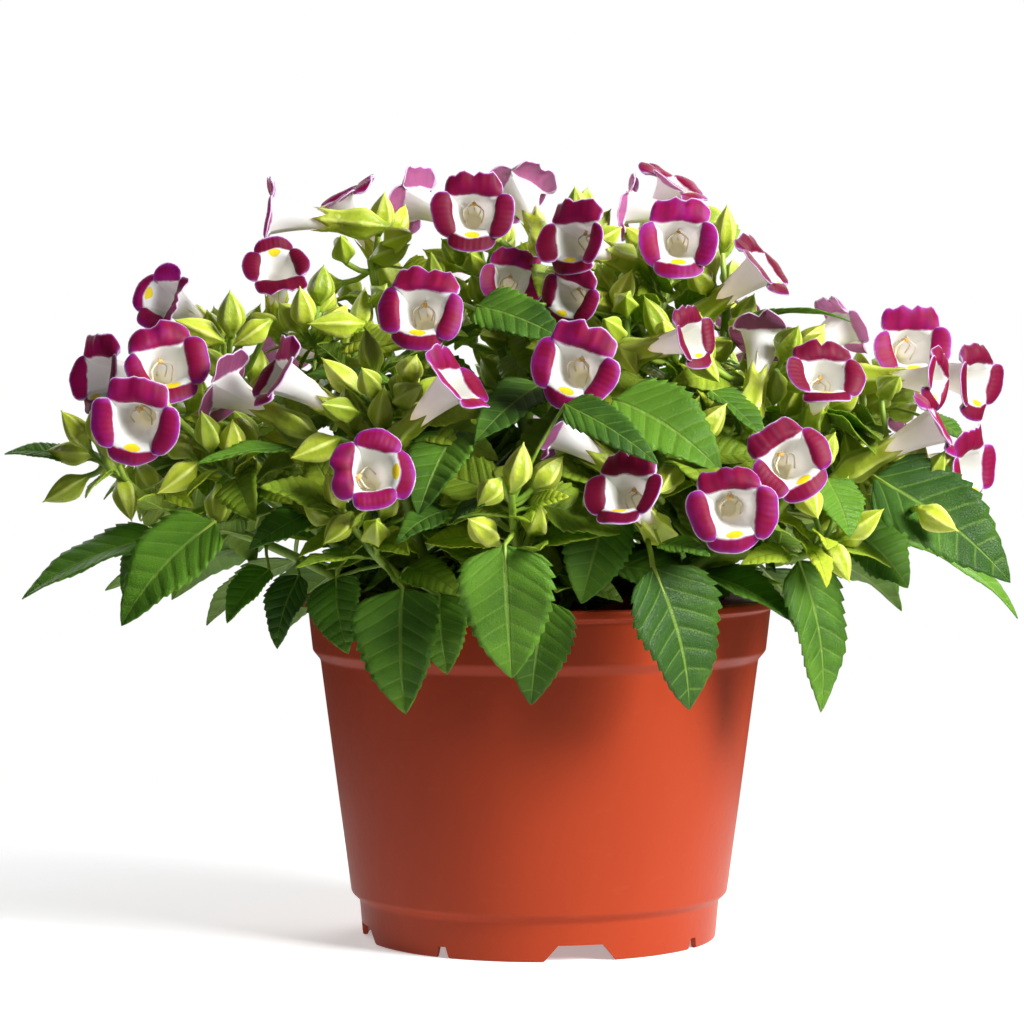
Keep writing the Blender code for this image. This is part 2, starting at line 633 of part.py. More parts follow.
def plan_plant():
    """Stems, blooms, buds and leaves, in the order in which they claim their room."""
    stems = plan_stems()
    put("pot", surface_of_revolution(POT_INSIDE[::-1] + POT_OUTSIDE, POT_STEPS))
    soil = [(max(radius, 1.0), height + SOIL_ROOM) for radius, height in SOIL_TOP]
    put("soil", surface_of_revolution(soil, SOIL_STEPS))
    blooms = plan_blooms(stems)
    buds = plan_buds(stems)
    leaves = plan_leaves(stems)
    return stems, blooms, buds, leaves


def clear_scene():
    """Removes every object of the start-up scene."""
    for item in list(bpy.data.objects):
        bpy.data.objects.remove(item, do_unlink=True)


def make_collection(name):
    collection = bpy.data.collections.new(name)
    bpy.context.scene.collection.children.link(collection)
    return collection


def make_material(name, colour, roughness, metallic=0.0):
    material = bpy.data.materials.new(name)
    material.use_nodes = True
    shader = material.node_tree.nodes["Principled BSDF"]
    shader.inputs["Base Color"].default_value = (*colour, 1.0)
    shader.inputs["Roughness"].default_value = roughness
    shader.inputs["Metallic"].default_value = metallic
    return material


def add_object(name, data, collection, material=None):
    item = bpy.data.objects.new(name, data)
    collection.objects.link(item)
    if material:
        data.materials.append(material)
    return item


def sheet_mesh(name, sheet):
    mesh = bpy.data.meshes.new(name)
    mesh.from_pydata([tuple(p) for p in sheet[0]], [], sheet[1])
    mesh.validate()
    return mesh


def evaluated_mesh(item):
    """The mesh that an object's curve or modifiers make, in place of the object."""
    depsgraph = bpy.context.evaluated_depsgraph_get()
    return bpy.data.meshes.new_from_object(item.evaluated_get(depsgraph))


def tube_object(name, points, radii, collection):
    """A four-sided stem: a poly curve with a bevel and caps, made a closed mesh."""
    curve = bpy.data.curves.new(name, "CURVE")
    curve.dimensions = "3D"
    curve.bevel_depth = MM
    curve.bevel_resolution = 0
    curve.use_fill_caps = True
    spline = curve.splines.new("POLY")
    spline.points.add(len(points) - 1)
    for knot, point, radius in zip(spline.points, points, radii):
        knot.co = (*point, 1.0)
        knot.radius = radius / MM
    item = add_object(name, curve, collection)
    mesh = evaluated_mesh(item)
    bpy.data.objects.remove(item, do_unlink=True)
    body = bmesh.new()
    body.from_mesh(mesh)
    bmesh.ops.remove_doubles(body, verts=body.verts, dist=0.000001)
    bmesh.ops.recalc_face_normals(body, faces=body.faces)
    body.to_mesh(mesh)
    body.free()
    return add_object(name, mesh, collection)


def blade_object(name, sheet, collection):
    """A leaf as a solid blade, thicker along its stalk."""
    item = add_object(name, sheet_mesh(name, sheet), collection)
    stalk = item.vertex_groups.new(name="stalk")
    stalk.add(list(range(len(sheet[0]))), BLADE_THICKNESS / STALK_THICKNESS, "REPLACE")
    stalk.add([0, 1, 2], 1.0, "REPLACE")
    solid = item.modifiers.new("thickness", "SOLIDIFY")
    solid.thickness = STALK_THICKNESS * MM
    solid.offset = 0
    solid.vertex_group = "stalk"
    mesh = evaluated_mesh(item)
    bpy.data.objects.remove(item, do_unlink=True)
    return add_object(name, mesh, collection)


def united(name, first, others, collection, material):
    """One closed body out of pieces that grow from one another."""
    union = first.modifiers.new("union", "BOOLEAN")
    union.operation = "UNION"
    union.operand_type = "COLLECTION"
    union.collection = others
    # All pieces are closed, and EXACT leaves edges with one face where many roots meet
    union.solver = "MANIFOLD"
    mesh = evaluated_mesh(first)
    bpy.data.objects.remove(first, do_unlink=True)
    for item in list(others.objects):
        bpy.data.objects.remove(item, do_unlink=True)
    mesh.materials.clear()
    return add_object(name, mesh, collection, material)


def make_shoot(shoot, stems, blooms, buds, leaves, collection, material):
    """A leafy stem with its side stems, stalks, calyces, buds and leaves in one body."""
    pieces = make_collection("pieces of " + shoot)
    main, *sides = [tube_object("stem", path, radii, pieces) for path, radii in stems[shoot]]
    pieces.objects.unlink(main)
    collection.objects.link(main)
    for bloom in blooms:
        if bloom["shoot"] == shoot:
            tube_object("calyx", *bloom["stalk"], pieces)
    for bud in buds:
        if bud["shoot"] == shoot:
            tube_object("bud", bud["points"], bud["radii"], pieces)
    for leaf in leaves:
        if leaf["shoot"] == shoot:
            blade_object("leaf", leaf["sheet"], pieces)
    return united("shoot_" + shoot, main, pieces, collection, material)


def make_bloom(number, bloom, collection, material):
    """A corolla: its sheet made solid."""
    name = "bloom_%02d" % (number + 1)
    item = add_object(name, sheet_mesh(name, bloom["sheet"]), collection, material)
    solid = item.modifiers.new("thickness", "SOLIDIFY")
    solid.thickness = PETAL_THICKNESS * MM
    solid.offset = 0
    return item


def turned_object(name, profile, steps, collection, material):
    """A body turned round the pot's axis, from a profile that starts and ends on the axis."""
    mesh = bpy.data.meshes.new(name)
    mesh.from_pydata([(radius * MM, 0, height * MM) for radius, height in profile],
                     [(i, i + 1) for i in range(len(profile) - 1)], [])
    item = add_object(name, mesh, collection, material)
    item.location = POT_AXIS
    screw = item.modifiers.new("turning", "SCREW")
    screw.steps = steps
    screw.render_steps = steps
    screw.use_merge_vertices = True
    screw.merge_threshold = 0.00005
    return item


def cutter(name, mesh, cutters):
    item = add_object(name, mesh, cutters)
    item.hide_render = True
    item.display_type = "WIRE"
    return item


def cut(item, cutters):
    difference = item.modifiers.new("cuts", "BOOLEAN")
    difference.operation = "DIFFERENCE"
    difference.operand_type = "COLLECTION"
    difference.collection = cutters
    difference.solver = "EXACT"


def notch_mesh(wide, narrow, height):
    """A block that is wider at its foot, which cuts a notch in the foot ring."""
    mesh = bpy.data.meshes.new("notch")
    body = bmesh.new()
    bmesh.ops.create_cube(body, size=1.0)
    below = 2.0
    slope = (wide - narrow) / height
    for vertex in body.verts:
        top = vertex.co.z > 0
        breadth = narrow if top else wide + slope * below
        vertex.co = Vector((vertex.co.x * NOTCH_DEPTH, vertex.co.y * breadth,
                            height if top else -below)) * MM
    body.to_mesh(mesh)
    body.free()
    return mesh


def drill_mesh(radius, low, high, sides):
    mesh = bpy.data.meshes.new("drill")
    body = bmesh.new()
    bmesh.ops.create_cone(body, cap_ends=True, segments=sides, radius1=radius * MM,
                          radius2=radius * MM, depth=(high - low) * MM,
                          matrix=Matrix.Translation((0, 0, (low + high) / 2 * MM)))
    body.to_mesh(mesh)
    body.free()
    return mesh


def make_pot(collection, material):
    profile = ([(0.0, FLOOR_TOP)] + POT_INSIDE + POT_OUTSIDE
               + [(FOOT_INSIDE, 0.0), (FOOT_INSIDE + 0.4, FLOOR_BOTTOM), (0.0, FLOOR_BOTTOM)])
    pot = turned_object("pot", profile, POT_STEPS, collection, material)
    cutters = make_collection("pot cutters")
    front = -90 + NOTCH_TURN
    ring = (POT_OUTSIDE[-1][0] + FOOT_INSIDE) / 2
    for k in range(8):
        angle = math.radians(front + 45 * k)
        shape = NOTCH_SMALL if k % 2 else NOTCH_BIG
        item = cutter("notch %d" % k, notch_mesh(*shape), cutters)
        item.location = POT_AXIS + Vector((math.cos(angle), math.sin(angle), 0)) * ring * MM
        item.rotation_euler = (0, 0, angle)
    for k in range(DRAIN_HOLES):
        angle = math.radians(front + 45 + 360 / DRAIN_HOLES * k)
        item = cutter("drain hole %d" % k,
                      drill_mesh(DRAIN_RADIUS, FLOOR_BOTTOM - 2, FLOOR_TOP + 2, DRAIN_SIDES), cutters)
        item.location = POT_AXIS + Vector((math.cos(angle), math.sin(angle), 0)) * DRAIN_PLACE * MM
    cut(pot, cutters)
    return pot


def make_soil(collection, material):
    soil = turned_object("soil", SOIL_TOP + SOIL_SIDE, SOIL_STEPS, collection, material)
    mesh = evaluated_mesh(soil)
    bpy.data.objects.remove(soil, do_unlink=True)
    nearest, farthest = (radius * MM for radius in SOIL_LUMP_RING)
    for vertex in mesh.vertices:
        reach = vertex.co.xy.length
        if vertex.co.z > SOIL_TOP[-1][1] * MM and nearest < reach < farthest:
            angle = math.atan2(vertex.co.y, vertex.co.x)
            vertex.co.z += SOIL_LUMP * MM * math.sin(angle * 5 + reach * 90) * math.cos(angle * 3)
    soil = add_object("soil", mesh, collection)
    soil.location = POT_AXIS
    cutters = make_collection("soil cutters")
    for shoot, (foot, _, _) in SHOOTS.items():
        item = cutter("hole of " + shoot, drill_mesh(HOLE_RADIUS, HOLE_BOTTOM, HOLE_TOP, HOLE_SIDES), cutters)
        item.location = (foot[0] * MM, foot[1] * MM, 0)
    cut(soil, cutters)
    return soil


def main():
    clear_scene()
    terracotta = make_material("terracotta plastic", (0.60, 0.10, 0.035), 0.45)
    peat = make_material("peat", (0.012, 0.009, 0.007), 0.95)
    green = make_material("green leaf", (0.08, 0.28, 0.03), 0.5)
    violet = make_material("crimson petal", (0.30, 0.01, 0.13), 0.5)
    torenia = make_collection("potted torenia")
    stems, blooms, buds, leaves = plan_plant()
    for shoot in SHOOTS:
        make_shoot(shoot, stems, blooms, buds, leaves, torenia, green)
    for number, bloom in enumerate(blooms):
        make_bloom(number, bloom, torenia, violet)
    make_soil(torenia, peat)
    make_pot(torenia, terracotta)
    print("blooms %d, buds %d, leaves %d, left out %s"
          % (len(blooms), len(buds), len(leaves), left_out))


main()
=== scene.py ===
"""Looks of the potted torenia: fine leaves, petals, calyces, stems, soil and pot round the CAD frame.

The plan of the plant, from the lists of places to plan_plant, is the one that the solids were
made from, so each fine piece grows where its solid is. After it come the pieces that the solids
leave out (more young leaves and buds), the shapes, the finishes and the studio.
"""

import json
import math
import random

import bmesh
import bpy
from mathutils import Matrix, Vector, noise
from mathutils.bvhtree import BVHTree

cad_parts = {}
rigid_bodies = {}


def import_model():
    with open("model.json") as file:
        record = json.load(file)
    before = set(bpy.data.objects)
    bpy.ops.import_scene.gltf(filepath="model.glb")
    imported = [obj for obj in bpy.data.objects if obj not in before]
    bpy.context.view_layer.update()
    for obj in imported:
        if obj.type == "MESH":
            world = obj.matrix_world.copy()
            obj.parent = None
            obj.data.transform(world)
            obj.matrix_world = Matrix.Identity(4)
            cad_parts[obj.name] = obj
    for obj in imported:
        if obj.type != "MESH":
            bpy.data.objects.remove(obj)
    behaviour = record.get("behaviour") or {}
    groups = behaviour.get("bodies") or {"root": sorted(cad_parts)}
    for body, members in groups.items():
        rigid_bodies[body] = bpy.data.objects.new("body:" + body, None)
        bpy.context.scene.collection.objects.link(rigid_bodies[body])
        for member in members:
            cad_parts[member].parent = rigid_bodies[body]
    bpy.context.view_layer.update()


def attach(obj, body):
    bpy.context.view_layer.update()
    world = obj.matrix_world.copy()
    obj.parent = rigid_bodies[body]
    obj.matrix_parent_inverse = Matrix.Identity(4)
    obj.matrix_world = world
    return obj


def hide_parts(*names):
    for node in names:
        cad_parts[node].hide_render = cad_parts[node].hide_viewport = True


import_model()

MM = 0.001

# Pot: a 14 cm nursery pot, with its axis to the right of the plant's middle
POT_AXIS = Vector((8.0, 0.0, 0.0)) * MM
POT_STEPS = 28
POT_OUTSIDE = [(70.0, 99.6), (70.0, 97.2), (67.8, 96.6), (66.4, 84.2),
               (64.2, 81.6), (55.2, 13.4), (52.8, 11.2), (51.8, 0.0)]
POT_INSIDE = [(51.2, 7.6), (53.8, 14.2), (62.7, 82.2), (64.9, 84.8), (66.3, 97.0),
              (68.4, 100.0)]
FOOT_INSIDE = 50.2
FLOOR_BOTTOM = 6.0
FLOOR_TOP = 7.6
NOTCH_TURN = 12.6
NOTCH_BIG = (21.0, 13.0, 4.7)
NOTCH_SMALL = (4.4, 2.6, 3.2)
NOTCH_DEPTH = 8.0
DRAIN_HOLES = 4
DRAIN_RADIUS = 4.5
DRAIN_SIDES = 6
DRAIN_PLACE = 34.0

# Soil: a peat plug that fills the pot to below its rim, clear of the wall
SOIL_STEPS = 16
SOIL_TOP = [(0.0, 88.0), (26.0, 87.6), (47.0, 86.2), (61.4, 84.0)]
SOIL_SIDE = [(61.5, 81.0), (50.0, 8.2), (0.0, 8.2)]
SOIL_LUMP = 1.1
SOIL_LUMP_RING = (5.0, 55.0)
HOLE_RADIUS = 3.1
HOLE_SIDES = 5
HOLE_BOTTOM = 70.0
HOLE_TOP = 96.0
STEM_FOOT = 72.0
STEM_UPRIGHT_TO = 90.0

# Flower: a funnel of four lobes, the upper lip notched
TUBE_LENGTH = 19.0
TUBE_RADIUS = 2.1
MOUTH_RADIUS = 6.6
FACE_FROM_BASE = 20.0
PETAL_THICKNESS = 0.7
LOBE_EDGE = [(-42, 6.1), (0, 5.3), (42, 6.1), (60, 2.4), (75, 5.7), (100, 6.4), (126, 5.7),
             (141, 2.4), (155, 5.8), (180, 6.5), (205, 5.8), (219, 2.4), (234, 5.7), (260, 6.4),
             (285, 5.7), (300, 2.4)]
MOUTH_ANGLES = [0, 60, 100, 141, 180, 219, 260, 300]
CALYX_LENGTH = 15.0
CALYX_RADII = (1.1, 4.1, 2.9)
CALYX_GAP = 0.9
PEDICEL_RADIUS = 0.9
SHORTEST_STALK = 5.0
BUD_RADII = (0.9, 1.0, 3.6, 0.35)

# Leaf: a pointed, toothed blade, keeled along its midrib
BLADE_THICKNESS = 0.7
STALK_THICKNESS = 1.3
STALK_HALF_WIDTH = 0.85
KEEL = 0.16
ARCH = 0.07
NOTCH_IN = 0.86
TOOTH_OUT = 1.06
LEAF_LENGTHS = (24.0, 36.0)
FULL_WIDTH_FACTOR = 2.74

STEM_RADII = (2.1, 1.3)
SIDE_STEM_RADII = (1.6, 1.1)
LOWEST_STALK = 96.0
SEED = 14

# Room that is kept between pieces of different owners: a gap, and an enlargement of each sheet
CLEARANCE = 0.8
AMPLE = 0.06
SOIL_ROOM = 1.0
RING_SIDES = 6
RING_AMPLE = 1.1

# Shoots: foot on the soil, way points of the main stem, then the side stems as the share of the
# main stem where each leaves it and its own way points
SHOOTS = {
    "left": ((-30, -14), [(-36, -18, 104), (-58, -26, 124), (-76, -26, 148), (-84, -16, 168)],
             [(0.30, [(-72, -38, 118), (-98, -42, 127), (-116, -38, 140)]),
              (0.52, [(-84, -20, 138), (-96, -12, 149)]),
              (0.45, [(-70, -42, 132), (-82, -47, 138)])]),
    "high_left": ((-10, 4), [(-13, 3, 106), (-25, 0, 140), (-36, -4, 172), (-41, -6, 198)],
                  [(0.62, [(-44, -14, 164), (-58, -24, 174)])]),
    "top": ((10, 8), [(9, 8, 110), (3, 10, 150), (-5, 14, 178), (-8, 14, 196)],
            [(0.68, [(6, 2, 184), (17, -8, 202)])]),
    "front_left": ((-18, -34), [(-22, -38, 104), (-28, -47, 124), (-34, -55, 146), (-36, -57, 156)],
                   [(0.32, [(-36, -60, 113), (-44, -71, 124)])]),
    "front_mid": ((12, -38), [(16, -43, 102), (25, -54, 116), (36, -62, 129), (42, -64, 142)],
                  [(0.22, [(6, -62, 108), (1, -77, 119), (0, -87, 131)])]),
    "high_right": ((22, -6), [(23, -7, 110), (28, -13, 145), (32, -20, 168), (33, -22, 184)],
                   [(0.72, [(41, -8, 178), (47, 0, 193)]),
                    (0.58, [(42, -26, 160), (48, -32, 168)])]),
    "right": ((38, -8), [(43, -10, 108), (54, -15, 140), (60, -18, 165), (62, -14, 187)],
              [(0.50, [(65, -28, 154), (73, -33, 164)]),
               (0.44, [(71, -15, 146), (85, -20, 153)])]),
    "far_right": ((50, 8), [(58, 8, 104), (78, 6, 124), (96, 4, 144), (104, 4, 154)],
                  [(0.36, [(84, -16, 117), (100, -30, 124), (110, -36, 131)])]),
    "front_right": ((36, -34), [(40, -41, 102), (56, -51, 114), (71, -56, 124), (80, -58, 136)],
                    [(0.62, [(80, -54, 114), (87, -56, 119)])]),
    "back_left": ((-18, 28), [(-24, 33, 104), (-42, 38, 130), (-52, 40, 154)],
                  [(0.45, [(-62, 28, 122), (-76, 20, 136)])]),
    "back_mid": ((10, 38), [(10, 42, 104), (7, 46, 132), (4, 42, 162), (2, 36, 176)],
                 [(0.36, [(-10, 56, 120), (-20, 60, 134)]),
                  (0.42, [(24, 56, 124), (34, 56, 132)])]),
    "back_right": ((38, 28), [(43, 32, 104), (56, 36, 130), (62, 36, 154)],
                   [(0.45, [(76, 32, 122), (88, 26, 138)])]),
}

# Blooms: shoot, middle of the face, turn from the front, tilt up, roll clockwise, size
BLOOMS = [
    ("left", (-118, -28, 165), -48, 5, 0, 1.00),
    ("left", (-97, -36, 168), 12, 22, -15, 1.05),
    ("left", (-101, -60, 152), -6, -6, 8, 1.05),
    ("left", (-81, -44, 161), -115, 25, 20, 0.92),
    ("left", (-101, -12, 187), -38, 22, 100, 0.90),
    ("high_left", (-70, -10, 211), -88, 6, 0, 0.95),
    ("high_left", (-50, 8, 217), -75, 58, 20, 0.95),
    ("high_left", (-67, -26, 195), 4, 38, 172, 0.85),
    ("top", (-29, 12, 216), -125, 22, 0, 0.90),
    ("top", (-11, -22, 211), 0, 6, 2, 1.00),
    ("top", (2, 6, 218), -160, 35, -30, 0.95),
    ("high_left", (-25, -62, 183), -4, 16, 6, 1.05),
    ("front_left", (-15, -76, 163), 62, 40, 0, 0.95),
    ("front_left", (-65, -62, 165), -68, 30, 0, 0.95),
    ("front_left", (-38, -86, 139), 4, 18, -88, 1.00),
    ("top", (0, -12, 192), 8, 12, 10, 0.85),
    ("high_right", (17, -40, 203), -35, 12, 0, 0.95),
    ("high_right", (16, -38, 187), -30, 5, 20, 0.80),
    ("high_right", (34, 2, 214), -100, 12, 0, 0.85),
    ("high_right", (48, 6, 221), 60, 58, 0, 0.90),
    ("high_right", (47, -36, 203), -2, 8, 0, 1.00),
    ("right", (72, -28, 196), 66, 36, 0, 0.95),
    ("high_right", (50, -62, 175), 52, 12, -10, 0.80),
    ("high_right", (17, -80, 167), -8, 12, 18, 1.05),
    ("right", (71, -36, 175), 165, 50, 0, 0.90),
    ("right", (87, -54, 165), 6, 34, 0, 0.95),
    ("right", (96, -12, 179), 115, 32, 0, 0.90),
    ("far_right", (116, -8, 173), 12, 14, 0, 1.00),
    ("far_right", (122, -22, 163), 60, -2, 30, 0.80),
    ("far_right", (136, -6, 163), 50, -6, 0, 1.00),
    ("far_right", (120, -32, 151), 80, 28, 0, 0.95),
    ("far_right", (131, -42, 138), 52, -2, -12, 1.00),
    ("front_right", (75, -84, 142), 4, 14, -32, 1.00),
    ("front_right", (59, -94, 129), 0, 2, -6, 1.05),
    ("front_mid", (30, -94, 134), -25, 28, 0, 0.95),
    ("front_mid", (13, -72, 149), -100, 32, 0, 0.80),
    ("back_left", (-98, 36, 152), -118, 14, 0, 0.95),
    ("back_left", (-68, 60, 176), -142, 24, 10, 1.00),
    ("back_left", (-44, 84, 150), -160, 10, 0, 1.05),
    ("back_mid", (-16, 64, 192), -172, 32, -10, 0.95),
    ("back_mid", (8, 98, 158), 176, 6, 5, 1.00),
    ("back_mid", (30, 72, 184), 160, 26, 0, 1.00),
    ("back_mid", (50, 88, 142), 158, 8, 12, 0.95),
    ("back_right", (72, 58, 178), 140, 26, 0, 1.00),
    ("back_right", (94, 66, 150), 128, 10, -8, 1.00),
    ("back_right", (116, 36, 158), 108, 14, 0, 0.95),
]

# Leaves, listed one by one: shoot, base of the blade, its tip, its width, and how much the upper
# face leans to the front
LEAVES = [
    ("front_left", (-30, -68, 106), (-29, -74, 72), 26, 0),
    ("front_left", (-49, -52, 108), (-46, -62, 88), 17, 0),
    ("front_left", (-20, -66, 104), (-18, -72, 83), 17, 0),
    ("front_mid", (-2, -88, 119), (0, -84, 83), 26, 0),
    ("front_mid", (9, -72, 103), (5, -77, 75), 20, 0),
    ("front_mid", (38, -84, 113), (49, -82, 74), 30, 0),
    ("front_right", (80, -52, 113), (88, -48, 70), 22, 0.5),
    ("front_mid", (26, -66, 128), (19, -70, 102), 20, 0),
    ("far_right", (103, -48, 136), (142, -48, 108), 28, 1.3),
    ("far_right", (107, -22, 119), (147, -24, 98), 18, 0.3),
    ("far_right", (96, -34, 121), (113, -36, 105), 23, 1.0),
    ("left", (-99, -40, 119), (-138, -44, 102), 17, 0.35),
    ("left", (-82, -62, 124), (-108, -70, 97), 24, 0.9),
    ("left", (-105, -24, 116), (-112, -22, 99), 11, 0.5),
    ("left", (-124, -28, 140), (-145, -26, 143), 10, 0.1),
    ("left", (-68, -46, 110), (-80, -52, 96), 12, 0.6),
    ("left", (-60, -40, 108), (-67, -44, 88), 14, 0.6),
    ("front_mid", (28, -66, 158), (57, -80, 140), 24, 0.5),
    ("front_mid", (14, -80, 156), (40, -90, 142), 12, 0.6),
    ("high_right", (-10, -40, 184), (15, -52, 174), 16, 0.2),
    ("front_left", (8, -60, 162), (-10, -78, 146), 15, 0),
    ("front_left", (-15, -66, 149), (-25, -84, 126), 19, 0),
    ("front_left", (-17, -80, 128), (-31, -92, 121), 11, 0),
    ("front_mid", (-16, -86, 126), (-7, -96, 130), 8, 0),
    ("right", (55, -56, 160), (69, -66, 146), 13, 0),
    ("right", (66, -24, 182), (96, -30, 186), 11, -0.2),
    ("far_right", (119, -16, 161), (131, -22, 156), 10, 0.5),
    ("left", (-60, -56, 144), (-86, -70, 139), 11, 0.1),
    ("high_left", (-30, -42, 162), (-55, -56, 163), 10, 0.1),
    ("left", (-51, -58, 128), (-72, -70, 117), 13, 0.7),
    ("front_mid", (40, -84, 119), (53, -94, 116), 9, 0),
    ("front_right", (87, -58, 136), (93, -66, 120), 16, 0.5),
    ("back_left", (-40, 60, 108), (-44, 72, 74), 25, 0),
    ("back_mid", (-4, 70, 108), (-8, 80, 74), 27, 0),
    ("back_mid", (22, 72, 106), (26, 82, 76), 24, 0),
    ("back_right", (56, 60, 108), (62, 70, 72), 26, 0),
    ("back_left", (-72, 44, 118), (-106, 62, 98), 27, -0.7),
    ("back_right", (86, 48, 116), (120, 62, 96), 28, -0.7),
    ("back_left", (-78, 10, 114), (-120, 8, 100), 24, -0.3),
    ("back_mid", (-2, 66, 140), (-12, 92, 124), 24, 0),
    ("back_mid", (22, 62, 148), (26, 90, 132), 22, 0),
    ("back_left", (-58, 56, 140), (-70, 80, 122), 22, 0),
    ("back_right", (66, 56, 136), (74, 82, 118), 24, 0),
    ("far_right", (86, 18, 112), (118, 26, 96), 26, -0.3),
    ("far_right", (76, 30, 106), (92, 44, 82), 22, -0.3),
    ("left", (-64, 6, 110), (-92, 16, 92), 24, -0.3),
    ("back_left", (-52, 40, 106), (-74, 54, 84), 24, -0.4),
    ("back_mid", (-20, 66, 116), (-34, 88, 98), 24, -0.5),
    ("back_mid", (40, 68, 112), (48, 88, 88), 24, -0.5),
    ("back_left", (-26, 56, 150), (-34, 78, 136), 20, -0.4),
    ("right", (78, 14, 140), (104, 22, 128), 22, -0.2),
]

# Buds, listed one by one: shoot, base of the bud, its tip
BUDS = [
    ("left", (-116, -42, 144), (-117, -46, 156)),
    ("left", (-120, -36, 136), (-132, -38, 129)),
    ("left", (-118, -34, 142), (-132, -30, 143)),
    ("left", (-111, -38, 136), (-107, -44, 124)),
    ("left", (-82, -30, 174), (-95, -34, 180)),
    ("left", (-80, -30, 175), (-80, -32, 188)),
    ("left", (-68, -40, 180), (-78, -42, 173)),
    ("high_left", (-59, -28, 177), (-60, -34, 189)),
    ("high_left", (-42, -26, 179), (-57, -34, 179)),
    ("high_left", (-41, -8, 198), (-30, -13, 202)),
    ("high_left", (-39, -4, 205), (-37, -8, 217)),
    ("high_left", (-37, -8, 202), (-29, -19, 205)),
    ("left", (-84, -49, 143), (-86, -56, 154)),
    ("left", (-88, -47, 140), (-98, -55, 132)),
    ("left", (-82, -50, 134), (-82, -55, 122)),
    ("front_left", (-48, -60, 147), (-60, -68, 142)),
    ("front_left", (-44, -56, 149), (-46, -62, 161)),
    ("front_left", (-37, -60, 149), (-35, -69, 161)),
    ("front_left", (-44, -74, 127), (-51, -77, 119)),
    ("front_mid", (-3, -92, 137), (-9, -95, 130)),
    ("front_mid", (0, -90, 133), (3, -92, 146)),
    ("top", (19, -14, 208), (18, -21, 218)),
    ("right", (61, -8, 200), (62, -13, 213)),
    ("high_right", (29, -22, 183), (34, -28, 194)),
    ("high_right", (31, -36, 174), (26, -48, 180)),
    ("high_right", (34, -46, 174), (38, -57, 165)),
    ("right", (53, -52, 171), (61, -63, 163)),
    ("front_mid", (46, -74, 139), (40, -85, 133)),
    ("front_right", (80, -66, 135), (83, -77, 126)),
    ("front_right", (87, -58, 119), (93, -62, 108)),
    ("far_right", (112, -60, 128), (122, -67, 122)),
    ("far_right", (105, -30, 158), (109, -40, 164)),
    ("far_right", (116, -40, 134), (121, -47, 143)),
    ("right", (72, -38, 171), (73, -40, 160)),
    ("high_right", (50, -34, 166), (57, -39, 174)),
    ("top", (-22, -18, 189), (-23, -27, 199)),
    ("high_left", (-48, -10, 197), (-49, -22, 204)),
    ("back_left", (-56, 48, 160), (-60, 56, 171)),
    ("back_left", (-50, 52, 156), (-46, 63, 164)),
    ("back_left", (-82, 26, 140), (-94, 30, 146)),
    ("back_mid", (2, 46, 178), (4, 55, 188)),
    ("back_mid", (-24, 66, 140), (-30, 77, 146)),
    ("back_mid", (38, 62, 138), (44, 74, 134)),
    ("back_right", (62, 44, 160), (64, 53, 170)),
    ("back_right", (68, 44, 152), (80, 52, 158)),
    ("back_right", (94, 30, 142), (107, 34, 144)),
]

# The pair of leaves on every main stem: share of the stem, length and width of the blade
PAIR_PLACE = 0.47
PAIR_LENGTH = 29.0
PAIR_WIDTH = 18.0


def mm(point):
    """A place of the plan, in metres."""
    return Vector(point) * MM


def face_direction(turn, tilt):
    """The way a bloom looks: turn 0 is the front, positive to the right; tilt is upwards."""
    turn, tilt = math.radians(turn), math.radians(tilt)
    flat = math.cos(tilt)
    return Vector((math.sin(turn) * flat, -math.cos(turn) * flat, math.sin(tilt)))


def smooth_path(points, cuts):
    """A Catmull-Rom curve through the way points, with a few points between each two."""
    ends = [points[0] * 2 - points[1]] + list(points) + [points[-1] * 2 - points[-2]]
    path = []
    for a, b, c, d in zip(ends, ends[1:], ends[2:], ends[3:]):
        for step in range(cuts):
            t = step / cuts
            path.append(b + (c - a) * (t / 2) + (a * 2 - b * 5 + c * 4 - d) * (t * t / 2)
                        + (b * 3 - a - c * 3 + d) * (t * t * t / 2))
    path.append(points[-1])
    return path


def along(path, share):
    """The point at this share of a path's number of steps."""
    place = share * (len(path) - 1)
    step = min(int(place), len(path) - 2)
    return path[step].lerp(path[step + 1], place - step)


def tube_shell(points, radii):
    """Rings round a path, just outside a stem: its room in the clearance test."""
    corners, faces = [], []
    side = (points[-1] - points[0]).orthogonal().normalized()
    for i, (point, radius) in enumerate(zip(points, radii)):
        way = (points[min(i + 1, len(points) - 1)] - points[max(i - 1, 0)]).normalized()
        side = (side - way * side.dot(way)).normalized()
        other = way.cross(side)
        for k in range(RING_SIDES):
            angle = 2 * math.pi * k / RING_SIDES
            spoke = side * math.cos(angle) + other * math.sin(angle)
            corners.append(point + spoke * radius * RING_AMPLE)
            if i:
                a = RING_SIDES * (i - 1) + k
                b = RING_SIDES * (i - 1) + (k + 1) % RING_SIDES
                faces += [(a, b, b + RING_SIDES), (a, b + RING_SIDES, a + RING_SIDES)]
    return corners, faces


